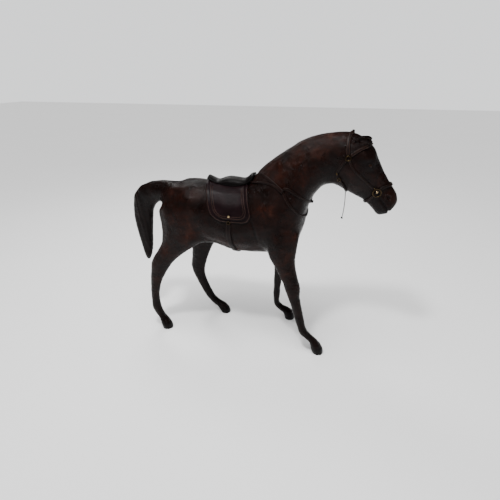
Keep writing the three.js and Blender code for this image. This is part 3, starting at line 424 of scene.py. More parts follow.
leather = body_leather()
strap_skin = strap_leather("strap_leather", (0.0038, 0.0018, 0.0016), (0.0095, 0.0038, 0.003), 0.36, 0.12)
saddle_skin = strap_leather("saddle_leather", (0.0055, 0.0026, 0.0032), (0.0105, 0.0048, 0.0058), 0.36, 0.09)
lace_skin = strap_leather("lace_leather", (0.0025, 0.0014, 0.0012), (0.006, 0.003, 0.0024), 0.5, 0.05)
seat_skin = seat_leather()
tan_thread = thread_material("tan_thread", tan_thread_dark, tan_thread_light)
brown_thread = thread_material("brown_thread", brown_thread_dark, brown_thread_light)
brass = brass_material("aged_brass", brass_bright, brass_brown)
wire_brass = brass_material("dull_brass_wire", wire_bright, wire_brown)
glass = eye_material()


# The leather skin of the horse

voxel = 0.00202
soft_passes = 24
restore_passes = 50
eye_radius = 0.0044
lid_radius = 0.005
eye_slope = Vector((0.78, 0, -0.62))
mouth_corner = placed([229, 0, 318])
mouth_front = placed([256, 0, 279])
lip_middle = placed([249, 0, 289])
nostrils = both_sides(placed([247, -15, 313]))
nostril_slope = np.array([-0.5, 0, 0.87])


def mesh_points(mesh):
    flat = np.empty(len(mesh.vertices) * 3)
    mesh.vertices.foreach_get("co", flat)
    return flat.reshape(-1, 3)


def fitting(node_name):
    """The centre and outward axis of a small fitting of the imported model."""
    points = mesh_points(nodes[node_name].data)
    centre = (points.min(axis=0) + points.max(axis=0)) / 2
    axis = np.linalg.svd(points - points.mean(axis=0), full_matrices=False)[2][2]
    return centre, axis if axis[1] * centre[1] >= 0 else -axis


def centres_of(name):
    return [fitting(f"{name}_{side}")[0] for side, _ in sides]


eye_centres = centres_of("eye")


class Surface:
    """The points and edges of a closed mesh, for smoothing and moving in one go."""

    def __init__(self, mesh):
        self.mesh = mesh
        self.points = mesh_points(mesh)
        self.count = len(self.points)
        ends = np.empty(len(mesh.edges) * 2, dtype=np.int64)
        mesh.edges.foreach_get("vertices", ends)
        self.ends = ends.reshape(-1, 2)
        self.degree = np.bincount(ends, minlength=self.count).astype(float)[:, None]

    def around(self, field):
        """The mean of each point's neighbours' values."""
        a, b = self.ends.T
        total = np.empty_like(field)
        for k in range(field.shape[1]):
            total[:, k] = np.bincount(a, field[b, k], self.count) + np.bincount(b, field[a, k], self.count)
        return total / self.degree

    def softened(self, field, passes, weight=1.0):
        for _ in range(passes):
            field = field + 0.5 * weight * (self.around(field) - field)
        return field

    def normals(self):
        """Writes the points to the mesh and gives its normals."""
        self.mesh.vertices.foreach_set("co", self.points.ravel())
        self.mesh.update()
        flat = np.empty(self.count * 3)
        self.mesh.vertices.foreach_get("normal", flat)
        return flat.reshape(-1, 3)

    def push_out(self, push):
        self.points = self.points + self.normals() * push[:, None]


ear_root = placed([183, 12, 405.5])
ear_tip = placed([210, 18, 405.5])
ear_profile = [
    (-0.12, 3.4, 2.8), (0.1, 4.9, 3.3), (0.36, 5.9, 3.5), (0.6, 5.9, 3.3),
    (0.8, 5.0, 2.9), (0.92, 3.6, 2.3), (1.0, 1.6, 1.2),
]


def ear_size(share):
    """Half the ear's height and depth in mm, at shares of its length."""
    shares, heights, depths = np.array(ear_profile).T
    return np.interp(share, shares, heights), np.interp(share, shares, depths)


def ear_axes(side):
    """The root of an ear, the way to its tip, and the ways out of and across its cup. side is 1 on the left."""
    root, tip = (both_sides(spot)[side < 0] for spot in (ear_root, ear_tip))
    along = Vector(tip - root)
    outward = Vector((-0.1, side * 0.92, 0.3)).normalized()
    upward = along.cross(outward).normalized() * side
    outward = upward.cross(along).normalized() * side
    return root, np.array(along), np.array(outward), np.array(upward)


def ear_parts(side):
    """A smooth leaf for the ear, before its outer face is cupped."""
    root, along, outward, upward = ear_axes(side)
    steps, around = 22, 28
    points = []
    for share in np.linspace(ear_profile[0][0], ear_profile[-1][0], steps):
        height, depth = ear_size(share)
        points += [
            root + along * share + (upward * up * height + outward * out * depth) * mm
            for up, out in circle(around)
        ]
    faces = ring_faces(steps, around)
    return points, turned_out(faces) if side > 0 else faces


def with_cupped_ears(points):
    """Presses the outer face of each ear in between its rims."""
    for side in (1, -1):
        root, along, outward, upward = ear_axes(side)
        offset = points - root
        share = offset @ along / (along @ along)
        up, out = offset @ upward / mm, offset @ outward / mm
        height, depth = ear_size(share)
        across = np.clip(1 - (up / (0.74 * height)) ** 2, 0, 1)
        cup = 4.6 * across ** 0.8 * ramp(share, 0.1, 0.14) * ramp(share, 0.9, -0.18)
        on_ear = (out > 0.6) & (out < depth + 2.5) & (np.abs(up) < height) & (share > 0) & (share < 1)
        least = depth * np.sqrt(np.clip(1 - (up / height) ** 2, 0, 1)) - cup
        push = np.where(on_ear & (out > least), least - out, 0)
        points = points + np.outer(push * mm, outward)
    return points


def ball_parts(centre, radius):
    points = []
    for tilt in np.linspace(0, math.pi, 21):
        ring = math.sin(tilt)
        points += [centre + radius * np.array([ring * c, ring * s, math.cos(tilt)]) for c, s in circle(32)]
    return points, turned_out(ring_faces(21, 32, capped=False))


def remeshed_body():
    """The carved body, ear leaves and lid balls as one even skin."""
    source = nodes["horse_body"].data
    carved = [tuple(v.co) for v in source.vertices], [tuple(f.vertices) for f in source.polygons]
    lids = [ball_parts(centre, lid_radius) for centre in eye_centres]
    points, faces = joined([carved, ear_parts(1), ear_parts(-1), *lids])
    start = bpy.data.meshes.new("leather_horse")
    start.from_pydata([tuple(p) for p in points], [], faces)
    piece = bpy.data.objects.new("leather_horse", start)
    scene.collection.objects.link(piece)
    modifier = piece.modifiers.new("skin", "REMESH")
    modifier.mode = "VOXEL"
    modifier.voxel_size = voxel
    depsgraph = bpy.context.evaluated_depsgraph_get()
    mesh = bpy.data.meshes.new_from_object(piece.evaluated_get(depsgraph))
    piece.modifiers.clear()
    piece.data = mesh
    mesh.materials.clear()
    mesh.materials.append(leather)
    return piece


def line_distance(points, line):
    """The distance from each point to a line, how far along it the nearest place is, and its length."""
    best = np.full(len(points), 1.0)
    along = np.zeros(len(points))
    done = 0.0
    for a, b in zip(line, line[1:]):
        span = b - a
        length = np.linalg.norm(span)
        share = np.clip((points - a) @ span / length ** 2, 0, 1)
        distance = np.linalg.norm(points - (a + share[:, None] * span), axis=1)
        closer = distance < best
        best[closer] = distance[closer]
        along[closer] = done + share[closer] * length
        done += length
    return best, along, done


def ear_keep(points):
    """1 on the ears, falling to 0 around them."""
    keep = np.zeros(len(points))
    for root, tip in zip(both_sides(ear_root), both_sides(ear_tip)):
        distance = line_distance(points, [root + (tip - root) * 0.15, tip])[0]
        keep = np.maximum(keep, ramp(distance, 0.0105, -0.004))
    return keep


def detail_weight(points):
    """1 where the facets are rounded away, less near small carved forms that would be lost."""
    spots = [(centre, 0.0075) for centre in eye_centres] + [(nostril, 0.0065) for nostril in nostrils]
    spots.append((lip_middle, [0.013, 0.03, 0.012]))
    keep = [ear_keep(points), 0.9 * ramp(points[:, 2], 0.004, -0.004), *(near(points, *spot) for spot in spots)]
    return (1 - 0.93 * np.clip(np.maximum.reduce(keep) * 1.25, 0, 1))[:, None]


def fine_places(points):
    """True where the face needs a finer mesh: the eyes, ears, nostrils and lips."""
    fine = (ear_keep(points) > 0) | (near(points, lip_middle, [0.018, 0.05, 0.016]) > 0.37)
    for centres, reach in ((eye_centres, 0.0115), (nostrils, 0.0105)):
        for centre in centres:
            fine |= np.linalg.norm(points - centre, axis=1) < reach
    return fine


def refined(mesh):
    """Splits the faces finer where fine_places says so."""
    work = bmesh.new()
    work.from_mesh(mesh)
    fine = fine_places(np.array([v.co for v in work.verts]))
    edges = [e for e in work.edges if fine[e.verts[0].index] and fine[e.verts[1].index]]
    bmesh.ops.subdivide_edges(work, edges=edges, cuts=2, use_grid_fill=True)
    work.to_mesh(mesh)
    work.free()
    mesh.update()


def rounded(surface):
    """Rounds the facets away without shrinking the limbs: what is lost is put back, spread out."""
    original = surface.points.copy()
    weight = detail_weight(original)
    soft = surface.softened(original, 5, 1 - 0.8 * ear_keep(original)[:, None])
    soft = surface.softened(soft, soft_passes, weight)
    for _ in range(2):
        lost = surface.softened(original - soft, restore_passes)
        soft = soft + lost
    floor = original[:, 2] < 0.0006
    soft[floor, 2] = original[floor, 2]
    soft[:, 2] = np.maximum(soft[:, 2], 0)
    surface.points = soft


# Creases pressed into the leather, as drawn points on the right side, with depth and width in millimetres
creases = [
    ([[-148, -20, 306], [-139, -34, 296], [-133, -42, 280], [-131, -46, 262]], 0.7, 1.3),
    ([[-96, -49, 236], [-88, -51, 222], [-86, -48, 208], [-92, -42, 197]], 0.9, 2.2),
    ([[-84, -50, 246], [-78, -51, 232], [-76, -49, 216]], 0.6, 1.8),
    ([[14, -47, 262], [20, -48, 244], [24, -46, 226], [28, -42, 210]], 0.8, 2.0),
    ([[36, -43, 300], [44, -46, 284], [46, -47, 266]], 0.5, 2.2),
    ([[96, -36, 262], [102, -32, 248], [104, -30, 234]], 0.7, 1.6),
    ([[88, -42, 256], [92, -42, 242], [92, -42, 226]], 0.5, 1.6),
    ([[104, -18, 270], [108, -14, 256], [108, -12, 242], [104, -12, 228]], 0.9, 1.8),
    ([[100, -6, 262], [106, -4, 248], [106, -4, 234], [101, -4, 220]], 0.8, 1.6),
    ([[132, -24, 350], [137, -24, 342], [140, -22, 333]], 0.6, 1.5),
    ([[139, -25, 356], [144, -24, 346], [148, -21, 335]], 0.6, 1.4),
    ([[148, -26, 372], [150, -25, 360], [154, -24, 348]], 0.6, 1.6),
    ([[192, -27, 342], [203, -23, 332], [214, -19, 322]], 0.5, 1.8),
    ([[216, -20, 356], [226, -17, 344], [234, -15, 334]], 0.5, 1.8),
    ([[232, -15, 322], [238, -15, 314], [240, -14, 304]], 0.5, 1.3),
    ([[58, -38, 212], [70, -44, 204], [84, -44, 200]], 0.7, 1.8),
    ([[60, -40, 200], [72, -46, 193], [88, -46, 190]], 0.5, 1.6),
    ([[-120, -47, 190], [-134, -46, 182], [-150, -46, 178]], 0.6, 1.8),
    ([[-108, -46, 200], [-124, -47, 193], [-142, -48, 190]], 0.6, 1.8),
]
joint_rings = [
    ([101, -44, 132], 13.5, 0.45, 4), ([109, -46, 84], 9, 0.3, 3), ([132, -50, 33], 9, 0.4, 4),
    ([50, 50, 126], 12, 0.45, 4), ([47.5, 53.5, 72], 9, 0.3, 3), ([56, 56, 30], 9, 0.4, 4),
    ([-188, -41, 130], 14, 0.45, 4), ([-196, -42, 70], 9, 0.3, 3), ([-184, -42.5, 26], 9, 0.4, 4),
    ([-131, 45.5, 100], 13, 0.45, 4), ([-116, 46, 58], 9, 0.3, 3), ([-92, 46.5, 26], 9, 0.4, 4),
]


def crease_depth(points):
    """How far the creases and the ripples at the joints push each point in, in metres."""
    push = np.zeros(len(points))
    for drawn, depth, width in creases:
        for rows in (drawn, flipped(drawn)):
            distance, along, length = line_distance(points, smooth_line([placed(p) for p in rows], 0.002))
            fade = np.sin(np.pi * np.clip(along / length, 0.02, 0.98)) ** 0.5
            lips = hump(distance, 2.2 * width * mm, 1.2 * width * mm)
            push += depth * mm * fade * (hump(distance, 0, width * mm) - 0.45 * lips)
    for centre, reach, depth, ripples in joint_rings:
        spot = placed(centre)
        close = near(points, spot, np.array([1.6, 1.6, 1.0]) * reach * mm)
        wave = np.cos((points[:, 2] - spot[2]) / (2 * reach * mm) * ripples * 2 * np.pi
                      + 2.2 * np.sin(points[:, 0] * 260) + 1.5 * np.sin(points[:, 1] * 310))
        push += close * depth * mm * np.maximum(wave, -0.3)
    return push


def noise_field(points, scale, octaves, seed):
    offset = Vector((seed, seed * 1.7, seed * 0.6))
    return np.array([noise.fractal(Vector(p) * scale + offset, 1.0, 2.0, octaves) for p in points])


def eye_axes(points, normals, centre):
    """The eye's axes along and across its opening and out of the skin."""
    distance = np.linalg.norm(points - centre, axis=1)
    outward = Vector(normals[(distance > 0.006) & (distance < 0.01)].mean(axis=0)).normalized()
    along = (eye_slope - outward * eye_slope.dot(outward)).normalized()
    across = outward.cross(along)
    if across.z < 0:
        across = -across
    return np.array(along), np.array(across), np.array(outward)


lid_reach = 0.011
lid_half_length = 0.0047
lid_heights = (0.0026, 0.0021)


def with_eyelids(points, normals):
    """Draws the skin over each eye's glass, above and below, and sinks it into the glass in an almond."""
    for centre in eye_centres:
        along, across, outward = eye_axes(points, normals, centre)
        offset = points - centre
        u, v = np.abs(offset @ along), offset @ across
        distance = np.linalg.norm(offset, axis=1)
        on_lid = (distance < lid_reach) & (offset @ outward > -0.0005)
        height = np.where(v > 0, *lid_heights)
        inside = height * np.clip(1 - (u / lid_half_length) ** 2.2, 0, None) - np.abs(v)
        inside = np.where(u > lid_half_length, -np.hypot(u - lid_half_length, v), inside)
        rim = 0.0009 * hump(inside, -0.0007, 0.0008)
        furrow = 0.0008 * hump(inside, -0.0031, 0.0007) * (v > 0)
        lid = np.maximum(distance, eye_radius + 0.0004) + rim - furrow
        sunk = np.minimum(distance, eye_radius - 0.0011)
        blend = ramp(inside, -0.0002, 0.0004)
        reach = (1 - blend) * lid + blend * sunk
        reach = distance + (reach - distance) * ramp(distance, 0.0105, -0.003)
        moved = centre + offset * (reach / np.maximum(distance, 1e-6))[:, None]
        points = np.where(on_lid[:, None], moved, points)
    return points


def face_forms(points):
    """Brows, nostril rims and lips, as a push along the skin's normal."""
    push = np.zeros(len(points))
    for centre in eye_centres:
        push += 0.0013 * near(points, centre + np.array([-0.004, 0, 0.0115]), [0.011, 0.008, 0.0045])
        push -= 0.0006 * near(points, centre + np.array([0.004, 0, -0.0095]), [0.008, 0.01, 0.004])
    for nostril in nostrils:
        offset = points - nostril
        along = offset @ nostril_slope
        rest = np.linalg.norm(offset - np.outer(along, nostril_slope), axis=1)
        distance = np.hypot(along / 1.5, rest * (1 + 60 * np.clip(-along, -0.004, 0.004)))
        push += 0.0011 * hump(distance, 0.0042, 0.0014) * np.clip(0.7 + along / 0.006, 0.3, 1.2)
        push -= 0.0016 * hump(distance, 0, 0.0024)
    flat = points.copy()
    flat[:, 1] = mouth_corner[1]
    start = mouth_corner + (mouth_front - mouth_corner) * 0.1
    distance, along, length = line_distance(flat, [start, mouth_front])
    fade = ramp(along, 0, 0.3 * length)
    push -= 0.0015 * hump(distance, 0, 0.0011) * np.clip(fade, 0.35, 1)
    return push + 0.0008 * hump(distance, 0.0042, 0.002) * fade


tail_ridges_mm = 0.45
hoof_top_mm = 15.5


def tail_and_hooves(points):
    """The tail's strands and the rims over the hooves, as a push along the skin's normal."""
    x, y, z = (points / mm + drawn_offset_mm).T
    turn = np.arctan2(y, x + 0.18 * (z - 230) + 226)
    strands = np.sin(turn * 9 + 0.9 * np.sin(z * 0.045) + 0.5 * np.sin(z * 0.11))
    strands *= ramp(x, -186, -22) * ramp(z, 130, 20) * (0.7 + 0.3 * np.sin(turn * 23))
    rims = 0.0004 * hump(z, hoof_top_mm + 3, 1.6) - 0.0006 * hump(z, hoof_top_mm, 1.1) * (z < 24)
    return tail_ridges_mm * mm * strands + rims


def blob_tone(points, blobs):
    """How strongly blobs on both sides mark each point."""
    tone = np.zeros(len(points))
    for centre, reach, amount in blobs:
        for spot in both_sides(placed(centre)):
            tone = np.maximum(tone, amount * near(points, spot, np.array(reach) * mm))
    return tone


# Where the leather is rubbed to a red brown: drawn centre, reach and amount
rubbed_places = [
    ([70, -26, 352], [46, 22, 22], 1.0), ([112, -22, 384], [42, 20, 22], 1.0),
    ([150, -12, 408], [22, 14, 12], 0.7), ([96, -34, 340], [26, 16, 20], 0.7),
    ([-118, -50, 232], [36, 24, 34], 0.85), ([-150, -34, 232], [16, 20, 44], 0.8),
    ([-30, -46, 206], [60, 26, 20], 0.7), ([40, -46, 288], [26, 14, 26], 0.75),
    ([84, -40, 240], [24, 20, 36], 0.6), ([84, -46, 190], [22, 16, 40], 0.7),
    ([180, -24, 340], [26, 14, 20], 0.5), ([226, -18, 345], [20, 12, 16], 0.6),
    ([250, -10, 312], [14, 14, 12], 0.6), ([-150, -50, 190], [24, 18, 30], 0.65),
    ([-120, -36, 300], [40, 20, 14], 0.45), ([-192, -40, 120], [16, 16, 50], 0.4),
]
dark_places = [
    ([150, -24, 362], [20, 14, 30], 0.75), ([-112, -20, 320], [60, 22, 10], 0.5),
    ([206, -22, 366], [15, 12, 12], 0.7), ([236, -14, 290], [20, 20, 14], 0.6),
    ([60, -36, 300], [20, 14, 14], 0.35), ([108, -10, 240], [16, 26, 40], 0.5),
    ([-20, -30, 300], [60, 40, 12], 0.4),
]


def paint(surface, normals):
    """The tone attribute: how rubbed each point of the leather is, how much painted shade darkens its hollows and
    creases, and how black it is, painted shade low on the far side included.
    """
    points = surface.points
    # How concave the skin is: concave places take painted shade, convex places are rubbed.
    bend = ((surface.around(points) - points) * normals).sum(axis=1)
    bend = surface.softened(bend[:, None], 3)[:, 0] / 0.00006
    broken = noise_field(points, 38.0, 4, 3.0)
    rubbed = blob_tone(points, rubbed_places) * (1 + 0.9 * broken) + 0.108 * np.clip(-bend, 0, 1.5)
    height_mm = points[:, 2] / mm
    dark = np.maximum.reduce([
        ramp(height_mm, hoof_top_mm + 2, -4),
        0.6 * ramp(height_mm, 120, -110),
        # Painted shade: the far side is darkened low down.
        0.4 * ramp(points[:, 1], 0.02, 0.03) * ramp(height_mm, 200, -60),
        0.45 * ramp(points[:, 0], -0.19, -0.03),
        blob_tone(points, dark_places) * (0.8 + 0.5 * broken),
    ])
    # The second channel is the shade painted into the hollows and creases.
    colours = np.stack([rubbed, bend * 0.8 - 0.15, dark, np.ones(surface.count)], axis=1)
    attribute = surface.mesh.color_attributes.new("tone", "FLOAT_COLOR", "POINT")
    attribute.data.foreach_set("color", np.clip(colours, 0, 1).astype(np.float32).ravel())


# The skin's unevenness: depth in metres, scale and seed
uneven_layers = ((0.00042, 62.0, 11.0), (0.0002, 190.0, 5.0))


def make_skin():
    """The horse's skin, and a search tree of it before its fine wear, for the tack to lie on."""
    piece = remeshed_body()
    surface = Surface(piece.data)
    rounded(surface)
    surface.normals()
    refined(piece.data)
    surface = Surface(piece.data)
    points = surface.softened(surface.points, 6, fine_places(surface.points)[:, None] * 0.9)
    points = with_cupped_ears(points)
    surface.points = surface.softened(points, 2, (ear_keep(points) > 0)[:, None] * 0.8)
    surface.push_out(face_forms(surface.points) + tail_and_hooves(surface.points))
    surface.points = with_eyelids(surface.points, surface.normals())
    points = surface.points
    polygons = [tuple(p.vertices) for p in piece.data.polygons]
    smooth_tree = BVHTree.FromPolygons([tuple(p) for p in points], polygons)
    unevenness = sum(depth * noise_field(points, scale, 3, seed) for depth, scale, seed in uneven_layers)
    surface.push_out((unevenness - crease_depth(points)) * ramp(points[:, 2], 0, 0.006))
    surface.points[:, 2] = np.maximum(surface.points[:, 2], 0)
    piece.data.polygons.foreach_set("use_smooth", [True] * len(piece.data.polygons))
    paint(surface, surface.normals())
    dress(piece, "horse_body")
    return smooth_tree


skin_tree = make_skin()


def on_skin(point):
    """The nearest place of the smooth skin, with its outward normal."""
    return skin_tree.find_nearest(Vector(point))[:2]


# The saddle: sheets draped over the back

back_axis = placed([0, 0, 255])
pad = {"rear": -82, "front": -2, "slope": 21, "drop": 88, "corner": 22, "lift": 0.5, "height": 1.9}
flaps = {"rear": -75, "front": -8, "slope": 20, "drop": 82, "corner": 20, "lift": 3.1, "height": 1.8}
# A sheet's height for each degree that it turns down its side, and the share of it that is stitched
mm_per_degree = 0.95
stitched_share = 0.76
seat_start, seat_end, seat_spread, seat_lift = -81, 9, 15, 5.8
seat_edge_mm = 0.9
pommel_drop_mm = 4.4
seat_heights = [
    (0, 7), (0.1, 4.4), (0.21, 2), (0.29, 5.4), (0.37, 9.8), (0.48, 13),
    (0.64, 11.6), (0.8, 7), (0.93, 8.4), (1, 4.4),
]


def back_radius(x, angle):
    """How far the skin lies from the back's axis, smoothed over the neighbouring directions."""
    turns = np.array([-0.1, -0.05, 0, 0.05, 0.1])
    origin = Vector((x, back_axis[1], back_axis[2]))
    rays = [Vector((0, math.sin(angle + turn), math.cos(angle + turn))) for turn in turns]
    distances = np.array([skin_tree.ray_cast(origin, ray)[3] for ray in rays])
    shares = hump(turns, 0, 0.08)
    mean = (distances * np.cos(turns * 0.5) * shares).sum() / shares.sum()
    return 0.5 * (mean + (distances * np.cos(turns)).max())


def back_place(x, angle, lift_mm):
    reach = back_radius(x, angle) + lift_mm * mm
    return Vector((x, back_axis[1] + math.sin(angle) * reach, back_axis[2] + math.cos(angle) * reach))


def sheet_x(outline, run, side):
    """The x of a run along a sheet that slopes forward down its side."""
    return (run + outline["slope"] * side ** 1.3 - drawn_offset_mm[0]) * mm


def flap_spot(outline, s, t):
    """The x and angle of a place on a flap or pad, and its distance in mm from the outline's edge."""
    side, corner = abs(t), outline["corner"]
    bottom = max(1 - side, 0) * outline["drop"] * mm_per_degree
    low = bottom < corner
    inset = corner - math.sqrt(corner ** 2 - (corner - bottom) ** 2) if low else 0.0
    run = outline["rear"] + inset + (outline["front"] - outline["rear"] - 2 * inset) * s
    near_side = min(run - outline["rear"], outline["front"] - run)
    if near_side < corner and low:
        edge = corner - math.hypot(corner - near_side, corner - bottom)
    else:
        edge = min(near_side, bottom)
    return sheet_x(outline, run, side), math.copysign(side, t) * math.radians(outline["drop"]), edge


def eased(count, sharp=1.0):
    """Shares from 0 to 1, closer together near both ends."""
    even = np.linspace(0, 1, count)
    return (1 - sharp) * even + sharp * (0.5 - 0.5 * np.cos(np.pi * even))


def draped(outline, relief, columns=56, rows=120):
    """A thick sheet over the back with a rounded edge. relief(edge) adds to its top, in mm."""
    top, low = [], []
    for t in eased(rows, 0.35) * 2 - 1:
        for s in eased(columns, 0.5):
            x, angle, edge = flap_spot(outline, s, t)
            round_off = 1 - min(edge / outline["height"], 1)
            height = outline["height"] * math.sqrt(max(1 - round_off ** 2, 0))
            top.append(back_place(x, angle, outline["lift"] + max(height, 0.25) + relief(edge)))
            low.append(back_place(x, angle, outline["lift"]))
    return sheet_faces(top, low, columns, rows)


def sheet_faces(top, low, columns, rows):
    """The closed solid between a grid of top points and one of low points."""
    count = len(top)
    faces = []
    for j in range(rows - 1):
        for i in range(columns - 1):
            a, b = j * columns + i, j * columns + i + 1
            c, d = a + columns, b + columns
            faces.append((a, b, d, c))
            faces.append((a + count, c + count, d + count, b + count))
    rim = list(range(columns))
    rim += [j * columns + columns - 1 for j in range(1, rows)]
    rim += [(rows - 1) * columns + i for i in range(columns - 2, -1, -1)]
    rim += [j * columns for j in range(rows - 2, 0, -1)]
    for a, b in zip(rim, rim[1:] + rim[:1]):
        faces.append((b, a, a + count, b + count))
    return top + low, faces


flap_lines = (2.6, 6.2)
pad_line = 1.9


def flap_relief(edge):
    """The flap bulges softly inside its border and dips along the tooled lines."""
    return 0.5 * ramp(edge, 9, 12) - sum(0.3 * hump(edge, place, 0.7) for place in flap_lines)


def pad_relief(edge):
    return -0.25 * hump(edge, pad_line, 0.7)


def edge_line(outline, inset):
    """A line along a sheet's border, inset from it, as runs from the rear and heights over the bottom."""
    corner = outline["corner"]
    top = outline["drop"] * mm_per_degree * stitched_share
    rear, front = outline["rear"] + inset, outline["front"] - inset
    turns = np.linspace(0, math.pi / 2, 12)
    bend = [((corner - inset) * (1 - math.cos(a)), corner - (corner - inset) * math.sin(a)) for a in turns]
    shape = [(rear, top), *((rear + a, b) for a, b in bend)]
    shape += [*((front - a, b) for a, b in bend[::-1]), (front, top)]
    return smooth_line([(a, b, 0) for a, b in shape], 1.0)[:, :2]


def sheet_place(outline, run, bottom, sign, lift_mm):
    """The frame point over a flap at its run from the rear and its height over the bottom edge, in mm."""
    side = 1 - bottom / (outline["drop"] * mm_per_degree)
    return back_place(sheet_x(outline, run, side), -sign * side * math.radians(outline["drop"]), lift_mm)


stitch_length = 0.0014
stitch_gap = 0.0005
stitch_radius = 0.00026


def stitches(line, ups, radius=stitch_radius):
    """Short rounded stitches along a line of points, each lying on the surface below it."""
    parts = []
    lengths = travelled(line)
    pitch = stitch_length + stitch_gap
    count = int(lengths[-1] // pitch)
    bow = np.array([-0.7, 0.35, 0.7, 0.35, -0.7])[:, None] * radius
    for k in range(count):
        at = (lengths[-1] - count * pitch) / 2 + k * pitch + np.linspace(0, stitch_length, 5)
        path = sampled(at, lengths, line) + sampled(at, lengths, ups) * bow
        parts.append(tube_parts(path, [radius * w for w in (0.55, 1, 1.05, 1, 0.55)], 5))
    return joined(parts)


def sheet_stitches(outline, inset, sign):
    lift_mm = outline["lift"] + outline["height"] - 0.1
    path = np.array([sheet_place(outline, run, up, sign, lift_mm) for run, up in edge_line(outline, inset)])
    ups = (path - back_axis) * [0, 1, 1]
    return stitches(path, ups / np.linalg.norm(ups, axis=1)[:, None])


def seat_parts(columns=70, rows=25):
    """The seat's closed solid, and how much of the grey painted reflection each of its points shows."""
    top, low, shade = [], [], []
    shares = eased(columns, 0.3)
    heights = evened(np.interp(shares, *np.array(seat_heights).T), 6)
    for t in eased(rows, 0.7) * 2 - 1:
        for s, height in zip(shares, heights):
            narrow = 0.3 + 0.7 * math.sin(math.pi * min(0.06 + 0.8 * s, 1)) ** 0.7
            x = (seat_start + (seat_end - seat_start) * s - drawn_offset_mm[0]) * mm
            angle = t * narrow * math.radians(seat_spread)
            end = min(s / 0.03, (1 - s) / 0.07, 1)
            dome = max(1 - t * t, 0) ** 0.6 * math.sqrt(1 - (1 - end) ** 2 * 0.85)
            # Painted reflection: the top is grey, and the sides and front knob are near black with painted shade.
            shade.append(ramp(abs(t), 0.62, -0.16) * ramp(s, 0.86, -0.08))
            top.append(back_place(x, angle, seat_lift + seat_edge_mm + (height - seat_edge_mm) * dome))
            low.append(back_place(x, angle, seat_lift - pommel_drop_mm * ramp(s, 0.8, 0.16)))
    return sheet_faces(top, low, columns, rows), shade + [0.0] * len(low)


def make_saddle():
    new_piece("saddle_pad_leather", *draped(pad, pad_relief), saddle_skin, "tack_leather", "saddle_pad")
    new_piece("saddle_flap_leather", *draped(flaps, flap_relief), saddle_skin, "tack_leather", "saddle_flaps")
    seat, shade = seat_parts()
    piece = new_piece("saddle_seat_leather", *seat, seat_skin, "tack_leather", "saddle_seat")
    piece.data.attributes.new("shade", "FLOAT", "POINT").data.foreach_set("value", shade)
    parts = []
    for sign in (1, -1):
        parts += [sheet_stitches(flaps, inset, sign) for inset in flap_lines]
        parts.append(sheet_stitches(pad, pad_line, sign))
    new_piece("saddle_stitching", *joined(parts), tan_thread, "tack_leather")


make_saddle()


# Straps laid on the skin

cheek_spot = [173.9, -27, 378.5]
bit_spot = [225.8, -17, 322]
throat_stud_spot = [157.5, -24, 351.2]
throat_ring_spot = [162.4, -22.5, 342]
tab_spot = [65, -35, 319]
girth_ring_spot = [-27, -50.5, 256.6]


def whole(side, *middle):
    return [*side, *middle, *flipped(side)[::-1]]


girth_side = [girth_ring_spot, [-27.7, -51.5, 232.6], [-23.4, -39.6, 203.7], [-21, -20, 187]]
collar_side = [
    [25, -13, 340.5], [36.4, -21.7, 336.7], [49.4, -28, 329.9], tab_spot,
    [80, -41, 297], [90.4, -40.3, 286], [101, -29, 274],
]
breast_side = [tab_spot, [73.7, -35.3, 322.5], [91.9, -37, 313.5], [109, -26, 301.5]]
tie_route = [[2, -10, 326], [10, -18, 326], [35, -26, 328], [49, -29, 325], tab_spot]
crown_side = [cheek_spot, [172, -24, 392], [171.8, -16.9, 406.6], [174.5, -8, 415]]
brow_side = [cheek_spot, [179.5, -26.5, 384], [187, -24, 389.5], [196, -19.5, 394], [203, -10.5, 397.5]]
cheek_route = [cheek_spot, [183, -28, 362], [195.4, -26, 350.4], [210, -21.5, 336.7], bit_spot]
nose_side = [[210, -7, 303], [217, -15, 310.5], bit_spot, [236.4, -13.5, 331], [248, -5, 334]]
throat_side = [
    cheek_spot, [163, -26, 364], throat_stud_spot, throat_ring_spot, [170, -18, 331], [175, -8, 321],
]


def laid(rows, step=0.0014, closed=False):
    """A smooth centre line on the skin, with its smoothed normals."""
    line = smooth_line([placed(row) for row in rows], step, closed)
    fields = zip(*(on_skin(point) for point in line))
    points, ups = (evened(np.array(field), 4, closed) for field in fields)
    return points, ups / np.linalg.norm(ups, axis=1)[:, None]


def trimmed(line, ends):
    """The part of a line that is further from each end's spot than its reach."""
    points, ups = line
    keep = np.ones(len(points), dtype=bool)
    for spot, reach in ends:
        keep &= np.linalg.norm(points - spot, axis=1) > reach
    return points[keep], ups[keep]


strap_profile = [(-1, 0.0), (-1, 0.62), (-0.93, 0.9), (-0.7, 1), (-0.35, 1.02), (0, 1.03),
                 (0.35, 1.02), (0.7, 1), (0.93, 0.9), (1, 0.62), (1, 0.0), (0, -0.02)]


def strap_parts(line, width_mm, top_mm, low_mm=0.15, closed=False):
    """A flat strap with rounded edges along a line on the skin, and its stitched lines near both edges."""
    points, ups = line
    half = width_mm * mm / 2
    body, edges = [], {-1: [], 1: []}
    for row, row_up, tangent in zip(points, ups, tangents_of(points, closed)):
        point, up = Vector(row), Vector(row_up)
        across = tangent.cross(up).normalized()
        low = [(on_skin(point + across * half * share)[0] - point).dot(up) for share in (-1, 0, 1)]
        low = [max(depth, -0.3 * half) for depth in low]

        def raised(share, height_mm):
            base = low[1] + (low[0 if share < 0 else 2] - low[1]) * share * share
            return point + across * half * share + up * (base + height_mm * mm)

        body += [raised(share, low_mm + (top_mm - low_mm) * level) for share, level in strap_profile]
        for side, edge in edges.items():
            edge.append(raised(seam_share * side, top_mm + 0.02))
    faces = turned_out(ring_faces(len(points), len(strap_profile), closed))
    threads = joined([stitches(np.array(edge), ups, stitch_radius * 0.85) for edge in edges.values()])
    return (body, faces), threads


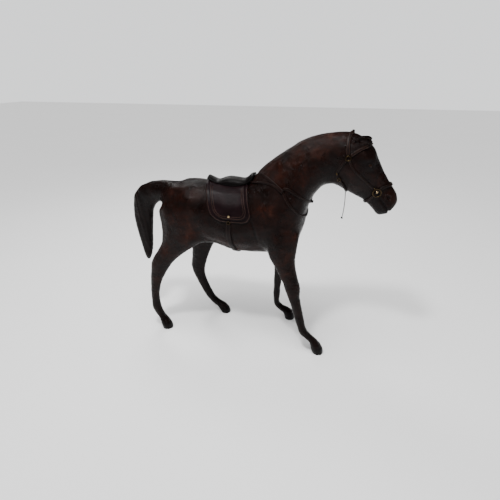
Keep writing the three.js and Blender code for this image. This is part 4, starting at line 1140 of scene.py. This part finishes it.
seam_share = 0.62
bridle_top = 2.2
breast_top = 2.3
brown_stitches = []
tan_stitches = []


def make_strap(node, rows, width_mm, top_mm, ends=(), closed=False, extra=(), seams=brown_stitches):
    line = trimmed(laid(rows, closed=closed), ends)
    body, threads = strap_parts(line, width_mm, top_mm, closed=closed)
    new_piece(f"{node}_leather", *joined([body, *extra]), strap_skin, "tack_leather", node)
    seams.append(threads)


def knot_parts(centre, radius, axis, thickness=0.42):
    """An overhand knot pulled tight: a fat tube along a trefoil."""
    path = []
    for a in (2 * math.pi * k / 60 for k in range(60)):
        flat = (math.sin(a) + 2 * math.sin(2 * a), math.cos(a) - 2 * math.cos(2 * a))
        spot = Vector((*flat, -1.6 * math.sin(3 * a)))
        path.append(Vector(centre) + turned(axis) @ (spot * (radius * (1 - thickness) / 3)))
    return tube_parts(path, radius * thickness, 10, closed=True)


def knot_on_skin(drawn, lift, radius):
    spot, up = on_skin(placed(drawn))
    return knot_parts(spot + up * lift, radius, up)


# The straps stop this far from the middles of the rings and tabs that hold them
cheek_ends = [(centre, 0.0052) for centre in centres_of("cheek_ring")]
bit_ends = [(centre, 0.0066) for centre in centres_of("bit_ring")]
girth_ends = [(centre, 0.0042) for centre in centres_of("girth_ring")]
tab_ends = [(on_skin(spot)[0], 0.003) for spot in both_sides(placed(tab_spot))]


def make_straps():
    poll, brow, chest = [177, 0, 417], [207.5, 0, 398.5], [116, 0, 293]
    make_strap("girth", whole(girth_side, [-20, 0, 183]), 9, 2.4, girth_ends)
    knot = knot_on_skin(poll, 0.0031, 0.0024)
    rows = whole(crown_side, poll)
    make_strap("crown_strap", rows, 6, bridle_top, cheek_ends, extra=[knot], seams=tan_stitches)
    make_strap("browband", whole(brow_side, brow), 4.6, bridle_top, cheek_ends, seams=tan_stitches)
    for (side, sign), *ends in zip(sides, cheek_ends, bit_ends):
        rows = cheek_route if sign > 0 else flipped(cheek_route)
        make_strap(f"cheekpiece_{side}", rows, 3.4, bridle_top, ends)
    make_strap("throatlatch", whole(throat_side, [176, 0, 318.5]), 3.6, bridle_top, cheek_ends)
    make_strap("noseband", whole(nose_side), 4.6, bridle_top, closed=True)
    make_strap("breast_collar", whole(collar_side, [109, 0, 268]), 4.2, breast_top)
    knot = knot_on_skin(chest, 0.0034, 0.003)
    make_strap("breast_strap", whole(breast_side, chest), 4.2, breast_top, tab_ends, extra=[knot])
    for side, sign in sides:
        rows = tie_route if sign > 0 else flipped(tie_route)
        make_strap(f"saddle_tie_{side}", rows, 3.2, breast_top, tab_ends)
    new_piece("strap_stitching", *joined(brown_stitches), brown_thread, "tack_leather")
    new_piece("crown_stitching", *joined(tan_stitches), tan_thread, "tack_leather")


make_straps()


# Brass fittings, tabs and eyes

def ring_parts(centre, axis, radius, wire):
    path = [Vector(centre) + turned(axis) @ Vector((c, s, 0)) * (radius - wire) for c, s in circle(48)]
    return tube_parts(path, wire, 12, closed=True)


def dome_parts(centre, axis, radius, height):
    """A domed nail head with a thin flat rim under it."""
    around = 32
    profile = [(1.0, 0.0), (1.04, 0.08), (1.0, 0.16), (0.93, 0.2)]
    profile += [(0.93 * math.cos(a), 0.2 + 0.8 * math.sin(a)) for a in np.linspace(0.12, math.pi / 2, 9)[:-1]]
    local = [
        (c * radius * share, s * radius * share, height * (level - 0.5))
        for share, level in profile for c, s in circle(around)
    ]
    points = [Vector(centre) + turned(axis) @ Vector(p) for p in (*local, (0, 0, height / 2))]
    last = (len(profile) - 1) * around
    faces = ring_faces(len(profile), around, capped=False)
    faces += [(last + k, last + (k + 1) % around, last + around) for k in range(around)]
    return points, [*faces, tuple(range(around - 1, -1, -1))]


# Each ring's radius and wire radius, and each stud's radius, height and brass
rings = {
    "cheek_ring": (0.005, 0.001), "bit_ring": (0.008, 0.0011),
    "girth_ring": (0.0036, 0.0007), "throat_ring": (0.0036, 0.0007),
}
studs = {
    "flap_stud": (0.0024, 0.0015, brass), "bit_stud": (0.0023, 0.0015, brass),
    "throat_stud": (0.002, 0.0013, wire_brass),
}


def make_fittings():
    for side, _ in sides:
        for name, (radius, wire) in rings.items():
            node = f"{name}_{side}"
            new_piece(f"{node}_brass", *ring_parts(*fitting(node), radius, wire), wire_brass, "brass", node)
        for name, (radius, height, metal) in studs.items():
            node = f"{name}_{side}"
            new_piece(f"{node}_brass", *dome_parts(*fitting(node), radius, height), metal, "brass", node)


def make_tabs():
    for side, sign in sides:
        spot = np.array(tab_spot) * [1, sign, 1]
        line = laid([spot + np.array([4.0, 0, -3.0]) * k for k in (-1, 0, 1)], 0.001)
        body, threads = strap_parts(line, 6.4, 4.2, 2.4)
        node = f"breast_tab_{side}"
        new_piece(f"{node}_leather", *body, strap_skin, "tack_leather", node)
        new_piece(f"{node}_stitching", *threads, brown_thread, "tack_leather")


def make_eyes():
    for (side, _), centre in zip(sides, eye_centres):
        new_piece(f"eye_{side}_glass", *ball_parts(centre, eye_radius), glass, "glass_eye", f"eye_{side}")


make_fittings()
make_tabs()
make_eyes()


# The loose lace, a cord that hangs from the throatlatch

lace_diameter = 0.0013
lace_route = [
    (0.16695, -0.01186, 0.31761), (0.16755, -0.01156, 0.30381), (0.16725, -0.01146, 0.29001),
    (0.16645, -0.01166, 0.27897), (0.16525, -0.01188, 0.27085),
]
lace_knot_radius = 0.0021


def make_lace():
    path = smooth_line(lace_route, 0.0011)
    lace = tube_parts(path, lace_diameter / 2, 10)
    piece = new_piece("hanging_lace", *lace, lace_skin, "lace", "bridle_lace")
    low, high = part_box("lace_knot")
    centre = [(a + b) / 2 for a, b in zip(low, high)]
    knot = knot_parts(centre, lace_knot_radius, (0.3, 0.2, 1))
    knot = new_piece("hanging_lace_knot", *knot, lace_skin, "lace", "lace_knot")


make_lace()


# Floor and light

room_strength = 0.1
backdrop_strength = 1.35
floor_half = 6.0

overhead_power = 3.4
overhead_spread = math.radians(50)

# Each area light's place, size and power
area_lights = {
    "key": ((-0.1, -0.45, 1.15), 0.14, 9), "back": ((-0.5, 0.5, 1.0), 0.3, 4),
    "front": ((1.2, -0.9, 0.6), 0.5, 1.5), "left": ((-0.3, 1.3, 0.8), 0.6, 1.5),
}


def make_floor():
    material, tree, shader, place = node_material("pale_floor")
    base = mixed(tree, noise_socket(tree, place, 3.0, 2.0), (0.9, 0.9, 0.9), (0.93, 0.93, 0.93))
    fill(tree, shader, {"Base Color": base, "Roughness": 0.9, "Specular IOR Level": 0.1})
    mesh = bpy.data.meshes.new("floor")
    corners = [(x * floor_half, y * floor_half, 0) for x, y in ((-1, -1), (1, -1), (1, 1), (-1, 1))]
    mesh.from_pydata(corners, [], [(0, 1, 2, 3)])
    mesh.materials.append(material)
    floor = bpy.data.objects.new("floor", mesh)
    scene.collection.objects.link(floor)


def make_world():
    """A pale backdrop in the picture, and a dim room everywhere else."""
    world = bpy.data.worlds.new("studio")
    world.use_nodes = True
    tree = world.node_tree
    seen = add_node(tree, "ShaderNodeLightPath").outputs["Is Camera Ray"]
    strength = ranged(tree, seen, 0, 1, room_strength, backdrop_strength)
    fill(tree, tree.nodes["Background"], {"Color": (0.98, 0.99, 1, 1), "Strength": strength})
    scene.world = world


def make_lights():
    sun = bpy.data.lights.new("overhead", "SUN")
    sun.energy = overhead_power
    sun.angle = overhead_spread
    overhead = bpy.data.objects.new("overhead", sun)
    overhead.rotation_euler = (math.radians(14), math.radians(-10), 0)
    overhead.visible_glossy = False
    scene.collection.objects.link(overhead)
    for name, (place, size, power) in area_lights.items():
        data = bpy.data.lights.new(name, "AREA")
        data.shape = "DISK"
        data.size = size
        data.energy = power
        light = bpy.data.objects.new(name, data)
        scene.collection.objects.link(light)
        light.location = place
        light.rotation_euler = (aim - Vector(place)).to_track_quat("-Z", "Y").to_euler()


make_floor()
make_world()
make_lights()

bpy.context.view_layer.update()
